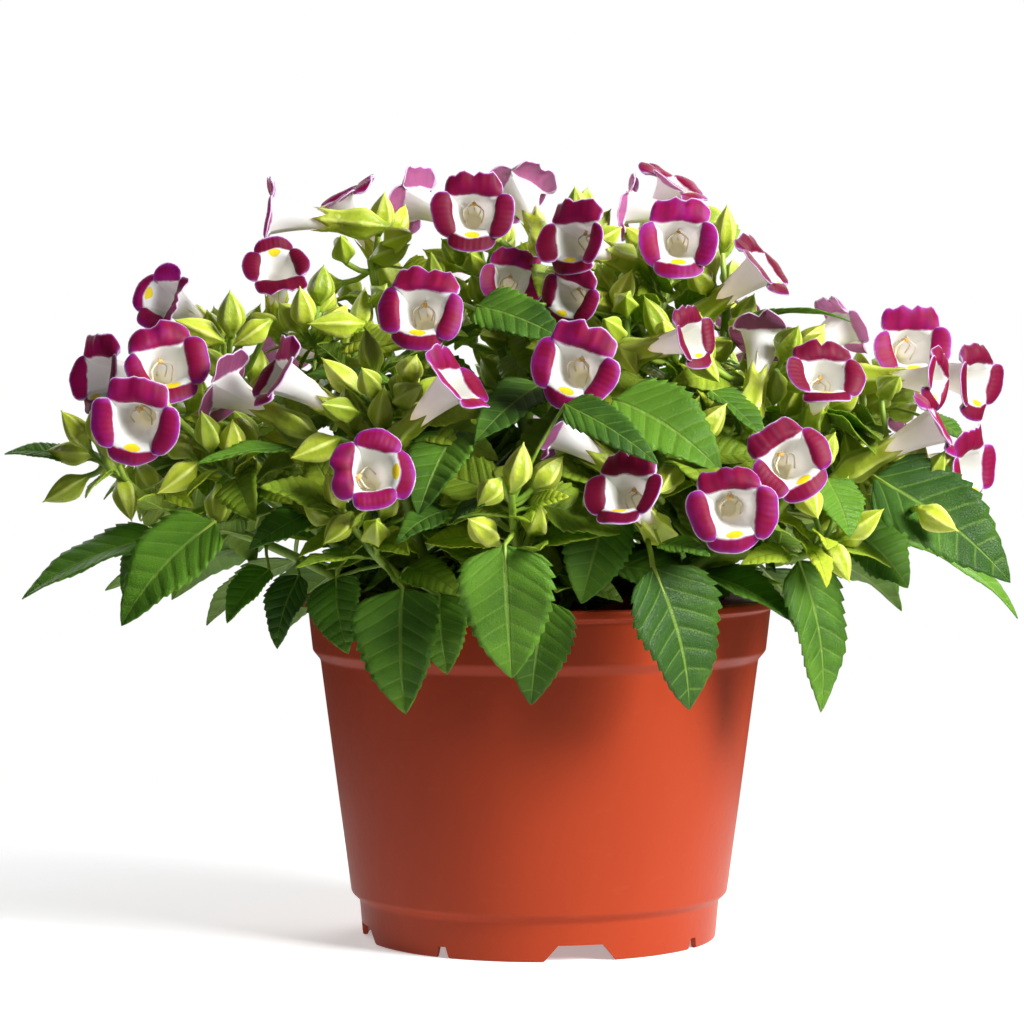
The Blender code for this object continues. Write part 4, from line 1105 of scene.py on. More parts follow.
def calyx_mesh():
    """An open calyx: a winged funnel that ends in five teeth round the flower's tube."""
    foot, widest, mouth = CALYX_RADII
    rings = []
    for row in range(9):
        share = row / 8
        if share < 0.55:
            radius = mixed(foot, widest, smooth_step(share / 0.55))
        else:
            radius = mixed(widest, mouth, (share - 0.55) / 0.45)
        rings.append((share * CALYX_LENGTH, radius, math.sin(math.pi * share * 0.8) ** 0.5, 0.0))
    lip = CALYX_LENGTH + 2
    rings += [(lip, mouth * 1.08, 0.4, 2.2), (lip + 1, mouth * 1.22, 0.1, 5.0),
              (lip + 1, mouth * 1.08, 0.1, 3.2), (lip, mouth * 0.98, 0.0, 0.4),
              (CALYX_LENGTH * 0.8, mouth * 0.8, 0.0, 0.0)]
    return winged_mesh("calyx template", rings, CALYX_LENGTH)


def grow_tube(sheet, points, radii, sides, **marks):
    """A round tube with closed ends along some points, added to a sheet."""
    first = len(sheet.points)
    side = (points[-1] - points[0]).orthogonal().normalized()
    for i, (point, radius) in enumerate(zip(points, radii)):
        way = (points[min(i + 1, len(points) - 1)] - points[max(i - 1, 0)]).normalized()
        side = (side - way * side.dot(way)).normalized()
        other = way.cross(side)
        for k in range(sides):
            angle = 2 * math.pi * k / sides
            spoke = side * math.cos(angle) + other * math.sin(angle)
            sheet.add(point + spoke * radius, **marks)
    sheet.weave(first, len(points), sides, closed=True)
    last = first + (len(points) - 1) * sides
    sheet.faces.append(tuple(first + k for k in range(sides))[::-1])
    sheet.faces.append(tuple(last + k for k in range(sides)))


def stamen_mesh():
    """Two pairs of arching stamens whose anthers meet, and a style, looking along +Z, up +Y."""
    sheet = Sheet()
    for side in (-1, 1):
        for foot, top in (((2.3, -1.6, 10), (0.6, 2.7, 15.5)), ((1.5, 0.8, 8.5), (0.5, 3.3, 12.5))):
            middle = (foot[0] + 0.5, mixed(foot[1], top[1], 0.6), top[2] - 0.6)
            path = smooth_path([Vector((side * x, y, z)) * MM for x, y, z in (foot, middle, top)], 3)
            grow_tube(sheet, path, [0.24 * MM] * len(path), 4, anther=0.0)
            head = [path[-1] + Vector((-side * 0.3 * k, 0.1 * k, 0.1)) * MM for k in range(4)]
            grow_tube(sheet, head, [r * MM for r in (0.25, 0.65, 0.6, 0.2)], 6, anther=1.0)
    style = smooth_path([Vector(p) * MM for p in ((0, 2.4, 6), (0, 3.9, 11), (0, 3.7, 16))], 3)
    grow_tube(sheet, style, [0.22 * MM] * len(style), 4, anther=0.0)
    return sheet.mesh("stamens")


def add_node(tree, kind, settings=None, values=None):
    """Adds a node of any type: its settings first, then the values or links of its sockets."""
    node = tree.nodes.new(kind)
    for name, value in (settings or {}).items():
        if name == "stops":
            ramp = node.color_ramp.elements
            while len(ramp) < len(value):
                ramp.new(1.0)
            for stop, (position, colour) in zip(ramp, value):
                stop.position = position
                stop.color = (*colour, 1.0)
        else:
            setattr(node, name, value)
    for key, value in (values or {}).items():
        if isinstance(value, Reading):
            value = value.socket
        if isinstance(value, bpy.types.NodeSocket):
            tree.links.new(value, node.inputs[key])
        else:
            node.inputs[key].default_value = value
    return node


class Reading:
    """A number that changes over a surface: a shader socket that sums are written with."""

    def __init__(self, tree, socket):
        self.tree = tree
        self.socket = socket

    def worked(self, operation, *values):
        node = add_node(self.tree, "ShaderNodeMath", {"operation": operation},
                        dict(enumerate(values)))
        return Reading(self.tree, node.outputs[0])

    def __add__(self, other):
        return self.worked("ADD", self, other)

    def __radd__(self, other):
        return self.worked("ADD", other, self)

    def __sub__(self, other):
        return self.worked("SUBTRACT", self, other)

    def __rsub__(self, other):
        return self.worked("SUBTRACT", other, self)

    def __mul__(self, other):
        return self.worked("MULTIPLY", self, other)

    def __rmul__(self, other):
        return self.worked("MULTIPLY", other, self)

    def __truediv__(self, other):
        return self.worked("DIVIDE", self, other)

    def __pow__(self, other):
        return self.worked("POWER", self, other)

    def least(self, other):
        return self.worked("MINIMUM", self, other)

    def most(self, other):
        return self.worked("MAXIMUM", self, other)

    def size(self):
        return self.worked("ABSOLUTE", self)

    def part(self):
        return self.worked("FRACT", self)

    def sine(self):
        return self.worked("SINE", self)

    def rise(self, low, high):
        """0 below low, 1 above high (or the other way round), and soft between."""
        node = add_node(self.tree, "ShaderNodeMapRange", {"interpolation_type": "SMOOTHSTEP"},
                        {"Value": self, "From Min": low, "From Max": high})
        return Reading(self.tree, node.outputs["Result"])


class Finish:
    """A material that is being mixed: its nodes, its shader and what they read."""

    def __init__(self, name, **constants):
        self.material = bpy.data.materials.new(name)
        self.material.use_nodes = True
        self.tree = self.material.node_tree
        self.shader = self.tree.nodes["Principled BSDF"]
        for label, value in constants.items():
            self.shader.inputs[label.replace("_", " ")].default_value = value
        self.place = add_node(self.tree, "ShaderNodeTexCoord").outputs["Object"]

    def mark(self, name):
        """A named number of the mesh."""
        node = add_node(self.tree, "ShaderNodeAttribute", {"attribute_name": name})
        return Reading(self.tree, node.outputs["Fac"])

    def noise(self, scale, detail=3.0, stretch=(1, 1, 1)):
        """Cloudy noise in the object's place, between about 0.3 and 0.7."""
        spread = add_node(self.tree, "ShaderNodeMapping", None,
                          {"Vector": self.place, "Scale": stretch})
        node = add_node(self.tree, "ShaderNodeTexNoise", None,
                        {"Vector": spread.outputs[0], "Scale": scale, "Detail": detail})
        return Reading(self.tree, node.outputs[0])

    def cells(self, scale):
        """Distance to the borders of small cells."""
        node = add_node(self.tree, "ShaderNodeTexVoronoi", {"feature": "DISTANCE_TO_EDGE"},
                        {"Vector": self.place, "Scale": scale})
        return Reading(self.tree, node.outputs[0])

    def blend(self, mask, below, above):
        """A colour between two, or a colour over another, by a mask."""
        sockets = {0: mask}
        for key, colour in ((6, below), (7, above)):
            sockets[key] = colour if isinstance(colour, bpy.types.NodeSocket) else (*colour, 1.0)
        node = add_node(self.tree, "ShaderNodeMix", {"data_type": "RGBA"}, sockets)
        return node.outputs[2]

    def paint(self, **sockets):
        """Links what changes over the surface to the shader."""
        for label, value in sockets.items():
            socket = value.socket if isinstance(value, Reading) else value
            self.tree.links.new(socket, self.shader.inputs[label.replace("_", " ")])
        return self.material

    def bump(self, height, distance, strength=1.0):
        """The normal over a relief whose height is in units of distance, in metres."""
        node = add_node(self.tree, "ShaderNodeBump", None,
                        {"Height": height, "Distance": distance, "Strength": strength})
        return node.outputs[0]


def leaf_finish(name, upper):
    """A toothed leaf: green that varies, yellower when young, with pale veins and a fine net; young is kept
    low deep in the crown, partly as painted shade.
    """
    finish = Finish(name, Subsurface_Weight=0.3, Subsurface_Radius=(0.5, 0.8, 0.12),
                    Subsurface_Scale=0.002, Specular_IOR_Level=0.25 if upper else 0.2)
    aside, along = finish.mark("aside").size(), finish.mark("along")
    tone, young = finish.mark("tone"), finish.mark("young")
    stray = (finish.noise(90.0, 2.0) - 0.5) * 0.5
    vein = (along - aside * (1 - along) * VEIN_SWEEP) * VEINS + stray * aside
    to_vein = 0.5 - (vein.part() - 0.5).size()
    veins = to_vein.rise(0.09, 0.02) * aside.rise(1.05, 0.6) * along.rise(0.98, 0.9)
    midrib = aside.rise(0.07, 0.02)
    lines = (veins * 0.5).most(midrib)
    cloud = finish.noise(60.0, 4.0).rise(0.3, 0.7)
    lively = (tone * 0.6 + cloud * 0.4).rise(0.1, 0.9)
    if upper:
        green = finish.blend(lively, (0.024, 0.078, 0.006), (0.105, 0.245, 0.014))
        lime = finish.blend(lively, (0.26, 0.38, 0.015), (0.54, 0.62, 0.040))
        pale = (0.25, 0.40, 0.06)
    else:
        green = finish.blend(lively, (0.07, 0.15, 0.025), (0.16, 0.28, 0.05))
        lime = finish.blend(lively, (0.24, 0.36, 0.03), (0.44, 0.55, 0.06))
        pale = (0.26, 0.40, 0.09)
    # young lime over green; the low young of fill leaves deep in the crown is partly painted shade
    colour = finish.blend(young.rise(0.1, 0.85), green, lime)
    colour = finish.blend(lines * 0.5, colour, pale)
    net = finish.cells(1300.0).rise(0.0, 0.10)
    relief = to_vein.rise(0.0, 0.35) * 0.4 - midrib * 0.4 + net * 0.14 + finish.noise(900.0, 2.0) * 0.2
    sheen = finish.noise(150.0, 3.0) * 0.25 + (0.40 if upper else 0.5)
    return finish.paint(Base_Color=colour, Roughness=sheen,
                        Normal=finish.bump(relief, 0.0006 if upper else -0.0006))


def stem_finish():
    """Green stems, paler along some stretches."""
    finish = Finish("green stem", Roughness=0.45, Subsurface_Weight=0.1,
                    Subsurface_Radius=(0.3, 0.6, 0.1), Subsurface_Scale=0.001)
    cloud = finish.noise(45.0, 3.0, (1, 1, 0.3)).rise(0.35, 0.65)
    colour = finish.blend(cloud, (0.16, 0.30, 0.02), (0.36, 0.50, 0.06))
    fine = finish.noise(700.0, 2.0, (1, 1, 0.15))
    return finish.paint(Base_Color=colour, Normal=finish.bump(fine, 0.0003))


def calyx_finish():
    """Lime calyces and buds with pale wings and darker grooves."""
    finish = Finish("lime calyx", Roughness=0.45, Subsurface_Weight=0.4,
                    Subsurface_Radius=(0.6, 0.8, 0.12), Subsurface_Scale=0.003)
    wing, along, tone = finish.mark("wing"), finish.mark("along"), finish.mark("tone")
    groove = finish.blend(tone, (0.28, 0.39, 0.022), (0.54, 0.63, 0.045))
    ridge = finish.blend(tone, (0.48, 0.59, 0.08), (0.76, 0.82, 0.20))
    colour = finish.blend(wing.rise(0.1, 0.9), groove, ridge)
    foot = along.rise(0.25, 0.0) * 0.5
    colour = finish.blend(foot, colour, (0.16, 0.30, 0.02))
    cloud = finish.noise(120.0, 3.0).rise(0.55, 0.75) * 0.4
    colour = finish.blend(cloud, colour, (0.30, 0.42, 0.02))
    ribs = finish.noise(500.0, 3.0)
    return finish.paint(Base_Color=colour, Normal=finish.bump(ribs, 0.0004))


def petal_finish(name, front):
    """Petals: white throat, crimson lobes that turn violet, a thin pale edge, a yellow spot, and painted
    light: a faint glow deep in the tube.
    """
    # Emission Strength 1.0 lets the painted throat light shine
    finish = Finish(name, Roughness=0.55, Subsurface_Weight=0.5,
                    Subsurface_Radius=(0.9, 0.7, 0.8), Subsurface_Scale=0.003,
                    Specular_IOR_Level=0.2, Emission_Strength=1.0)
    lobe, aside, along = finish.mark("lobe"), finish.mark("aside"), finish.mark("along")
    rim, tone = finish.mark("rim"), finish.mark("tone")
    cloud = finish.noise(220.0, 3.0).rise(0.3, 0.7)
    lower = (lobe - 2).size().rise(0.6, 0.3)
    upper = lobe.rise(0.6, 0.3)
    out = (along - 1).most(0) * 6.8 + (along - 1).least(0) * TUBE_LENGTH
    white_to = 0.25 + 0.5 * (cloud - 0.5) + (aside * aside) ** 2 * 1.1 + lower * (1 - aside * aside) * 2.2
    painted = (out - white_to).rise(-0.1, 0.5)
    crimson = finish.blend(tone, (0.11, 0.0008, 0.014), (0.25, 0.0016, 0.036))
    violet = finish.blend(tone, (0.12, 0.003, 0.09), (0.29, 0.007, 0.22))
    near_edge = rim.rise(1.9, 0.1) * (1 - upper * 0.5) + (tone - 0.6) * 0.8
    limb = finish.blend((near_edge + (cloud - 0.5) * 0.5).rise(0.0, 1.1), crimson, violet)
    streak = ((aside * 11 + cloud * 2).sine() * 0.5 + 0.5) * (upper * 0.4 + 0.06)
    limb = finish.blend(streak, limb, (0.08, 0.0008, 0.02))
    throat = finish.blend(along.rise(0.5, 0.05), (0.88, 0.86, 0.82), (0.86, 0.80, 0.58))
    if not front:
        blush = finish.noise(90.0, 2.0).rise(0.35, 0.7) * along.rise(0.3, 0.9) * 0.35
        throat = finish.blend(along.rise(0.30, 0.12), (0.86, 0.81, 0.80), (0.84, 0.74, 0.42))
        throat = finish.blend(along.rise(0.17, 0.10) * 0.8, throat, (0.90, 0.55, 0.10))
        throat = finish.blend(blush, throat, (0.74, 0.50, 0.68))
        limb = finish.blend(0.10 + 0.28 * tone, limb, (0.62, 0.25, 0.60))
    colour = finish.blend(painted, throat, limb)
    halo = painted * (1 - painted) * 4 * 0.45
    colour = finish.blend(halo, colour, (0.45, 0.12, 0.45))
    margin = rim + (cloud - 0.5) * 0.25
    violet_rim = margin.rise(0.8, 0.35) * painted * 0.4
    colour = finish.blend(violet_rim, colour, (0.36, 0.04, 0.42))
    edge = margin.rise(0.34, 0.12) * painted
    colour = finish.blend(edge * 0.75, colour, (0.78, 0.58, 0.80))
    if front:
        spot = ((aside * 4.2) ** 2 / 2.4 + (out - 1.3) ** 2 / 1.7).rise(1.15, 0.75) * lower
        colour = finish.blend(spot, colour, (0.95, 0.62, 0.01))
    veins = ((aside * 26).sine() * 0.5 + 0.5) * along.rise(0.9, 1.3) * 0.6 + finish.noise(1200.0, 2.0) * 0.4
    # painted light: a faint glow deep in the tube, standing in for the light that comes through the thin
    # petals
    painted_throat_light = finish.blend(along.rise(0.75, 0.15), (0, 0, 0), (0.13, 0.115, 0.09))
    return finish.paint(Base_Color=colour, Emission_Color=painted_throat_light, Normal=finish.bump(veins, 0.00006))


def stamen_finish():
    """Cream filaments with orange anthers."""
    finish = Finish("stamen", Roughness=0.5)
    cloud = finish.noise(300.0).rise(0.3, 0.7) * 0.5
    filament = finish.blend(cloud, (0.82, 0.76, 0.58), (0.84, 0.66, 0.36))
    anther = finish.blend(cloud, (0.80, 0.42, 0.04), (0.85, 0.72, 0.40))
    return finish.paint(Base_Color=finish.blend(finish.mark("anther"), filament, anther))


def pot_finish():
    """Terracotta-coloured plastic: satin, with faint flow marks and scuffs."""
    finish = Finish("terracotta plastic", Specular_IOR_Level=0.15)
    flow = finish.noise(14.0, 4.0, (1, 1, 0.25)).rise(0.3, 0.7)
    fine = finish.noise(420.0, 3.0)
    colour = finish.blend(flow, (0.27, 0.028, 0.006), (0.31, 0.035, 0.008))
    scuff = finish.noise(120.0, 6.0, (1, 1, 3)).rise(0.62, 0.75) * 0.1
    colour = finish.blend(scuff, colour, (0.40, 0.08, 0.03))
    dull = finish.noise(35.0, 4.0) * 0.18 + 0.34
    return finish.paint(Base_Color=colour, Roughness=dull,
                        Normal=finish.bump(fine + flow * 0.6, 0.00008))


def peat_finish():
    """Damp peat, almost black, with brown fibres."""
    finish = Finish("damp peat", Roughness=0.9)
    cloud = finish.noise(260.0, 5.0).rise(0.35, 0.65)
    colour = finish.blend(cloud, (0.008, 0.005, 0.004), (0.045, 0.026, 0.014))
    return finish.paint(Base_Color=colour, Normal=finish.bump(finish.noise(800.0, 5.0), 0.0012))


def perlite_finish():
    """White volcanic grains in the peat."""
    finish = Finish("perlite", Roughness=0.8)
    cloud = finish.noise(900.0, 3.0).rise(0.3, 0.7)
    return finish.paint(Base_Color=finish.blend(cloud, (0.55, 0.52, 0.46), (0.75, 0.73, 0.68)))


def floor_finish():
    """A pale studio floor that fades into the white room."""
    finish = Finish("pale floor", Roughness=0.8, Specular_IOR_Level=0.1,
                    Emission_Color=(1.0, 1.0, 1.0, 1.0), Emission_Strength=0.35)
    cloud = finish.noise(3.0)
    spread = add_node(finish.tree, "ShaderNodeVectorMath", {"operation": "LENGTH"}, {0: finish.place})
    near = Reading(finish.tree, spread.outputs["Value"]).rise(FLOOR_REACH, 0.12)
    finish.paint(Alpha=near)
    return finish.paint(Base_Color=finish.blend(cloud, (0.90, 0.90, 0.90), (0.92, 0.92, 0.92)))


def made_by(item, tree, inputs, name):
    """The plain mesh that a geometry node tree makes of an object, which is then removed."""
    growth = item.modifiers.new("growth", "NODES")
    growth.node_group = tree
    for socket in tree.interface.items_tree:
        if socket.in_out == "INPUT" and socket.name in inputs:
            growth[socket.identifier] = inputs[socket.name]
    depsgraph = bpy.context.evaluated_depsgraph_get()
    mesh = bpy.data.meshes.new_from_object(item.evaluated_get(depsgraph))
    mesh.name = name
    bpy.data.objects.remove(item, do_unlink=True)
    return mesh


def new_tree(name, inputs):
    """An empty geometry node tree with named inputs, and its first and last nodes."""
    tree = bpy.data.node_groups.new(name, "GeometryNodeTree")
    tree.interface.new_socket("Geometry", in_out="INPUT", socket_type="NodeSocketGeometry")
    for label, kind, value in inputs:
        socket = tree.interface.new_socket(label, in_out="INPUT", socket_type="NodeSocket" + kind)
        if value is not None:
            socket.default_value = value
    tree.interface.new_socket("Geometry", in_out="OUTPUT", socket_type="NodeSocketGeometry")
    return tree, add_node(tree, "NodeGroupInput").outputs


def end_tree(tree, geometry, material):
    """Realizes the instances, sets the material and hands the geometry out."""
    real = add_node(tree, "GeometryNodeRealizeInstances", None, {"Geometry": geometry})
    smooth = add_node(tree, "GeometryNodeSetShadeSmooth", None, {"Geometry": real.outputs[0]})
    dressed = add_node(tree, "GeometryNodeSetMaterial", None,
                       {"Geometry": smooth.outputs[0], "Material": material})
    add_node(tree, "NodeGroupOutput", None, {"Geometry": dressed.outputs[0]})
    return tree


def stem_tree():
    """Square stems with rounded corners along curves, as thick as each point's radius says."""
    tree, given = new_tree("stems along curves", [
        ("Corner", "Float", 0.5), ("Corner Cuts", "Int", 1), ("Material", "Material", None)])
    square = add_node(tree, "GeometryNodeCurvePrimitiveQuadrilateral", None,
                      {"Width": 1.75, "Height": 1.75})
    rounded = add_node(tree, "GeometryNodeFilletCurve", {"mode": "POLY"},
                       {"Curve": square.outputs[0], "Radius": given["Corner"],
                        "Count": given["Corner Cuts"]})
    radius = add_node(tree, "GeometryNodeInputRadius")
    swept = add_node(tree, "GeometryNodeCurveToMesh", None,
                     {"Curve": given["Geometry"], "Profile Curve": rounded.outputs[0],
                      "Scale": radius.outputs[0], "Fill Caps": True})
    return end_tree(tree, swept.outputs[0], given["Material"])


def scatter_tree():
    """A template on every point, turned and grown as the point's own vectors say."""
    tree, given = new_tree("template on points", [
        ("Template", "Object", None), ("Material", "Material", None)])
    template = add_node(tree, "GeometryNodeObjectInfo", None, {"Object": given["Template"]})
    turn = add_node(tree, "GeometryNodeInputNamedAttribute", {"data_type": "FLOAT_VECTOR"},
                    {"Name": "turn"})
    euler = add_node(tree, "FunctionNodeEulerToRotation", None, {"Euler": turn.outputs[0]})
    grow = add_node(tree, "GeometryNodeInputNamedAttribute", {"data_type": "FLOAT_VECTOR"},
                    {"Name": "grow"})
    placed_on = add_node(tree, "GeometryNodeInstanceOnPoints", None,
                         {"Points": given["Geometry"], "Instance": template.outputs["Geometry"],
                          "Rotation": euler.outputs[0], "Scale": grow.outputs[0]})
    return end_tree(tree, placed_on.outputs[0], given["Material"])


def crumb_tree():
    """Grains of random size and turn strewn over a surface."""
    tree, given = new_tree("grains on a surface", [
        ("Density", "Float", 1.0), ("Smallest", "Float", 0.0005), ("Largest", "Float", 0.001),
        ("Seed", "Int", 0), ("Material", "Material", None)])
    strewn = add_node(tree, "GeometryNodeDistributePointsOnFaces", None,
                      {"Mesh": given["Geometry"], "Density": given["Density"], "Seed": given["Seed"]})
    grain = add_node(tree, "GeometryNodeMeshIcoSphere", None, {"Radius": 1.0, "Subdivisions": 1})
    turn = add_node(tree, "FunctionNodeRandomValue", {"data_type": "FLOAT_VECTOR"},
                    {"Max": (6.28, 6.28, 6.28), "Seed": given["Seed"]})
    girth = add_node(tree, "FunctionNodeRandomValue", {"data_type": "FLOAT"},
                     {2: given["Smallest"], 3: given["Largest"], "Seed": given["Seed"]})
    squash = add_node(tree, "ShaderNodeCombineXYZ", None,
                      {"X": girth.outputs[1], "Y": girth.outputs[1]})
    flat = add_node(tree, "ShaderNodeMath", {"operation": "MULTIPLY"}, {0: girth.outputs[1], 1: 0.6})
    tree.links.new(flat.outputs[0], squash.inputs["Z"])
    placed_on = add_node(tree, "GeometryNodeInstanceOnPoints", None,
                         {"Points": strewn.outputs[0], "Instance": grain.outputs[0],
                          "Rotation": turn.outputs[0], "Scale": squash.outputs[0]})
    return end_tree(tree, placed_on.outputs[0], given["Material"])


def scattered(name, template, places, tree, material):
    """A mesh of one template at many places: (point, way, up, grow, tone)."""
    mesh = bpy.data.meshes.new(name)
    mesh.from_pydata([tuple(place[0]) for place in places], [], [])
    turns, grows = [], []
    for _, way, up, grow, _ in places:
        side = up.cross(way).normalized()
        turns += Matrix((side, way.cross(side), way)).transposed().to_euler()
        grows += grow
    mesh.attributes.new("turn", "FLOAT_VECTOR", "POINT").data.foreach_set("vector", turns)
    mesh.attributes.new("grow", "FLOAT_VECTOR", "POINT").data.foreach_set("vector", grows)
    mesh.attributes.new("tone", "FLOAT", "POINT").data.foreach_set("value", [p[4] for p in places])
    item = bpy.data.objects.new(name, mesh)
    bpy.context.scene.collection.objects.link(item)
    return made_by(item, tree, {"Template": template, "Material": material}, name)


def hidden(name, mesh):
    """A template, which is not shown itself."""
    item = bpy.data.objects.new(name, mesh)
    bpy.context.scene.collection.objects.link(item)
    return item


def stem_curve(name, runs):
    """A curve object with one spline for each run of points and radii."""
    curve = bpy.data.curves.new(name, "CURVE")
    curve.dimensions = "3D"
    for points, radii in runs:
        spline = curve.splines.new("POLY")
        spline.points.add(len(points) - 1)
        for knot, point, radius in zip(spline.points, points, radii):
            knot.co = (*point, 1.0)
            knot.radius = radius
    item = bpy.data.objects.new(name, curve)
    bpy.context.scene.collection.objects.link(item)
    return item


def fine_run(points, radii, cuts):
    """A smooth run through some points, its radii passing evenly from one to the next."""
    path = smooth_path(points, cuts)
    fine = []
    for i in range(len(path)):
        step = min(i // cuts, len(points) - 2)
        fine.append(mixed(radii[step], radii[step + 1], i / cuts - step))
    return path, fine


def leaf_runs(leaf):
    """The leaf's stalk and its midrib, which runs on below the blade."""
    run, way, across, normal = blade_axes(leaf)
    thick = 0.34 + 14 * leaf["width"]
    root, base = leaf["root"], leaf["base"]
    bow = (root + base) / 2 + normal * 0.08 * (base - root).length
    points, radii = fine_run([root, bow, base], [thick * 1.25 * MM, thick * MM, thick * MM], 2)
    for share in (0.2, 0.4, 0.6):
        lift = ARCH * run.length * 4 * share * (1 - share) - 0.4 * MM
        points.append(base + run * share + normal * lift)
        radii.append(mixed(thick * 0.75, 0.1, share / 0.6) * MM)
    return points, radii


def rounded(profile, radius, cuts):
    """A profile whose corners are rounded, by no more than half of each side."""
    points = [Vector(p) for p in profile]
    fine = [points[0]]
    for before, corner, after in zip(points, points[1:], points[2:]):
        start = (before - corner).normalized() * min(radius, (before - corner).length / 2.1)
        end = (after - corner).normalized() * min(radius, (after - corner).length / 2.1)
        for step in range(cuts + 1):
            t = step / cuts
            fine.append(corner + start * (1 - t) ** 2 + end * t ** 2)
    fine.append(points[-1])
    return fine


def turned_mesh(name, profile, steps):
    """A closed body turned round the pot's axis from a profile that ends on the axis."""
    sheet = Sheet()
    for radius, height in profile:
        for k in range(steps):
            angle = 2 * math.pi * k / steps
            sheet.add(POT_AXIS + Vector((radius * math.cos(angle), radius * math.sin(angle), height)) * MM)
    sheet.weave(0, len(profile), steps, closed=True)
    mesh = sheet.mesh(name, 0.000002)
    body = bmesh.new()
    body.from_mesh(mesh)
    bmesh.ops.dissolve_degenerate(body, edges=body.edges, dist=0.000002)
    bmesh.ops.recalc_face_normals(body, faces=body.faces)
    body.to_mesh(mesh)
    body.free()
    return mesh


def notch_block(wide, narrow, height, angle):
    """A block, wider at its foot, that cuts a notch in the foot ring at this angle."""
    below = 2.0
    ring = (POT_OUTSIDE[-1][0] + FOOT_INSIDE) / 2
    slope = (wide - narrow) / height
    block = bmesh.new()
    bmesh.ops.create_cube(block, size=1.0)
    spin = Matrix.Rotation(angle, 3, "Z")
    for vertex in block.verts:
        top = vertex.co.z > 0
        breadth = narrow if top else wide + slope * below
        place = Vector((vertex.co.x * NOTCH_DEPTH + ring, vertex.co.y * breadth,
                        height if top else -below))
        vertex.co = POT_AXIS + spin @ place * MM
    return block


def make_pot():
    """The pot: a fine turned shell with soft edges, notches in its foot and a drained floor."""
    outside = rounded([(FLOOR_INSIDE_SHARE, FLOOR_TOP)] + POT_INSIDE + POT_OUTSIDE
                      + [(FOOT_INSIDE, 0.0), (FOOT_INSIDE + 0.4, FLOOR_BOTTOM),
                         (FLOOR_INSIDE_SHARE, FLOOR_BOTTOM)], 0.7, 4)
    profile = [(0.0, FLOOR_TOP)] + [tuple(p) for p in outside] + [(0.0, FLOOR_BOTTOM)]
    item = bpy.data.objects.new("pot_shell", turned_mesh("pot_shell", profile, POT_FINE_STEPS))
    bpy.context.scene.collection.objects.link(item)
    cutters = bpy.data.collections.new("pot cutters")
    bpy.context.scene.collection.children.link(cutters)
    front = -90 + NOTCH_TURN
    blocks = [notch_block(*(NOTCH_SMALL if k % 2 else NOTCH_BIG), math.radians(front + 45 * k))
              for k in range(8)]
    for k in range(DRAIN_HOLES):
        angle = math.radians(front + 45 + 360 / DRAIN_HOLES * k)
        drill = bmesh.new()
        place = POT_AXIS + Vector((math.cos(angle) * DRAIN_PLACE, math.sin(angle) * DRAIN_PLACE,
                                   FLOOR_BOTTOM)) * MM
        bmesh.ops.create_cone(drill, cap_ends=True, segments=32, radius1=DRAIN_RADIUS * MM,
                              radius2=DRAIN_RADIUS * MM, depth=8 * MM,
                              matrix=Matrix.Translation(place))
        blocks.append(drill)
    for k, block in enumerate(blocks):
        mesh = bpy.data.meshes.new("cut %d" % k)
        block.to_mesh(mesh)
        block.free()
        cutters.objects.link(bpy.data.objects.new("cut %d" % k, mesh))
    cuts = item.modifiers.new("cuts", "BOOLEAN")
    cuts.operation = "DIFFERENCE"
    cuts.operand_type = "COLLECTION"
    cuts.collection = cutters
    depsgraph = bpy.context.evaluated_depsgraph_get()
    mesh = bpy.data.meshes.new_from_object(item.evaluated_get(depsgraph))
    for extra in [item] + list(cutters.objects):
        bpy.data.objects.remove(extra, do_unlink=True)
    mesh.shade_smooth()
    mesh.set_sharp_from_angle(angle=math.radians(38))
    return piece("pot_shell", mesh, [pot_finish()], ["pot"])


def make_soil(crumbs):
    """The peat: an uneven top, its plug below, and grains and perlite strewn over it."""
    reach = SOIL_TOP[-1][0]
    profile = [(reach * k / 30, 0.0) for k in range(31)]
    heights = []
    for radius, _ in profile:
        step = next(i for i in range(len(SOIL_TOP) - 1) if radius <= SOIL_TOP[i + 1][0])
        low, high = SOIL_TOP[step], SOIL_TOP[step + 1]
        heights.append(mixed(low[1], high[1], (radius - low[0]) / (high[0] - low[0])))
    profile = [(radius, height) for (radius, _), height in zip(profile, heights)]
    mesh = turned_mesh("soil_plug", profile + [(reach, SOIL_SIDE[0][1])] + SOIL_SIDE[1:], 120)
    lumps = [(9.0, 0.7), (22.0, 0.45), (60.0, 0.25)]
    for vertex in mesh.vertices:
        from_axis = (vertex.co - POT_AXIS).xy.length
        if vertex.co.z > (SOIL_TOP[-1][1] - 1) * MM and from_axis < (reach - 1) * MM:
            for fineness, height in lumps:
                rise = noise.noise(vertex.co * fineness * 10)
                vertex.co.z += rise * height * MM
    soil = piece("soil_plug", mesh, [peat_finish()], ["soil"])
    top = bpy.data.meshes.new("soil top")
    body = bmesh.new()
    body.from_mesh(mesh)
    low = [f for f in body.faces if f.calc_center_median().z < 83 * MM or f.normal.z < 0.3]
    bmesh.ops.delete(body, geom=low, context="FACES")
    body.to_mesh(top)
    body.free()
    peat = soil.data.materials[0]
    for name, density, smallest, largest, seed, material in (
            ("peat_crumbs", 90000, 0.0004, 0.0013, 3, peat),
            ("perlite_grains", 6000, 0.0004, 0.0010, 5, perlite_finish())):
        strewn = made_by(hidden(name, top), crumbs,
                         {"Density": density, "Smallest": smallest, "Largest": largest,
                          "Seed": seed, "Material": material}, name)
        piece(name, strewn, [material], ["soil"])


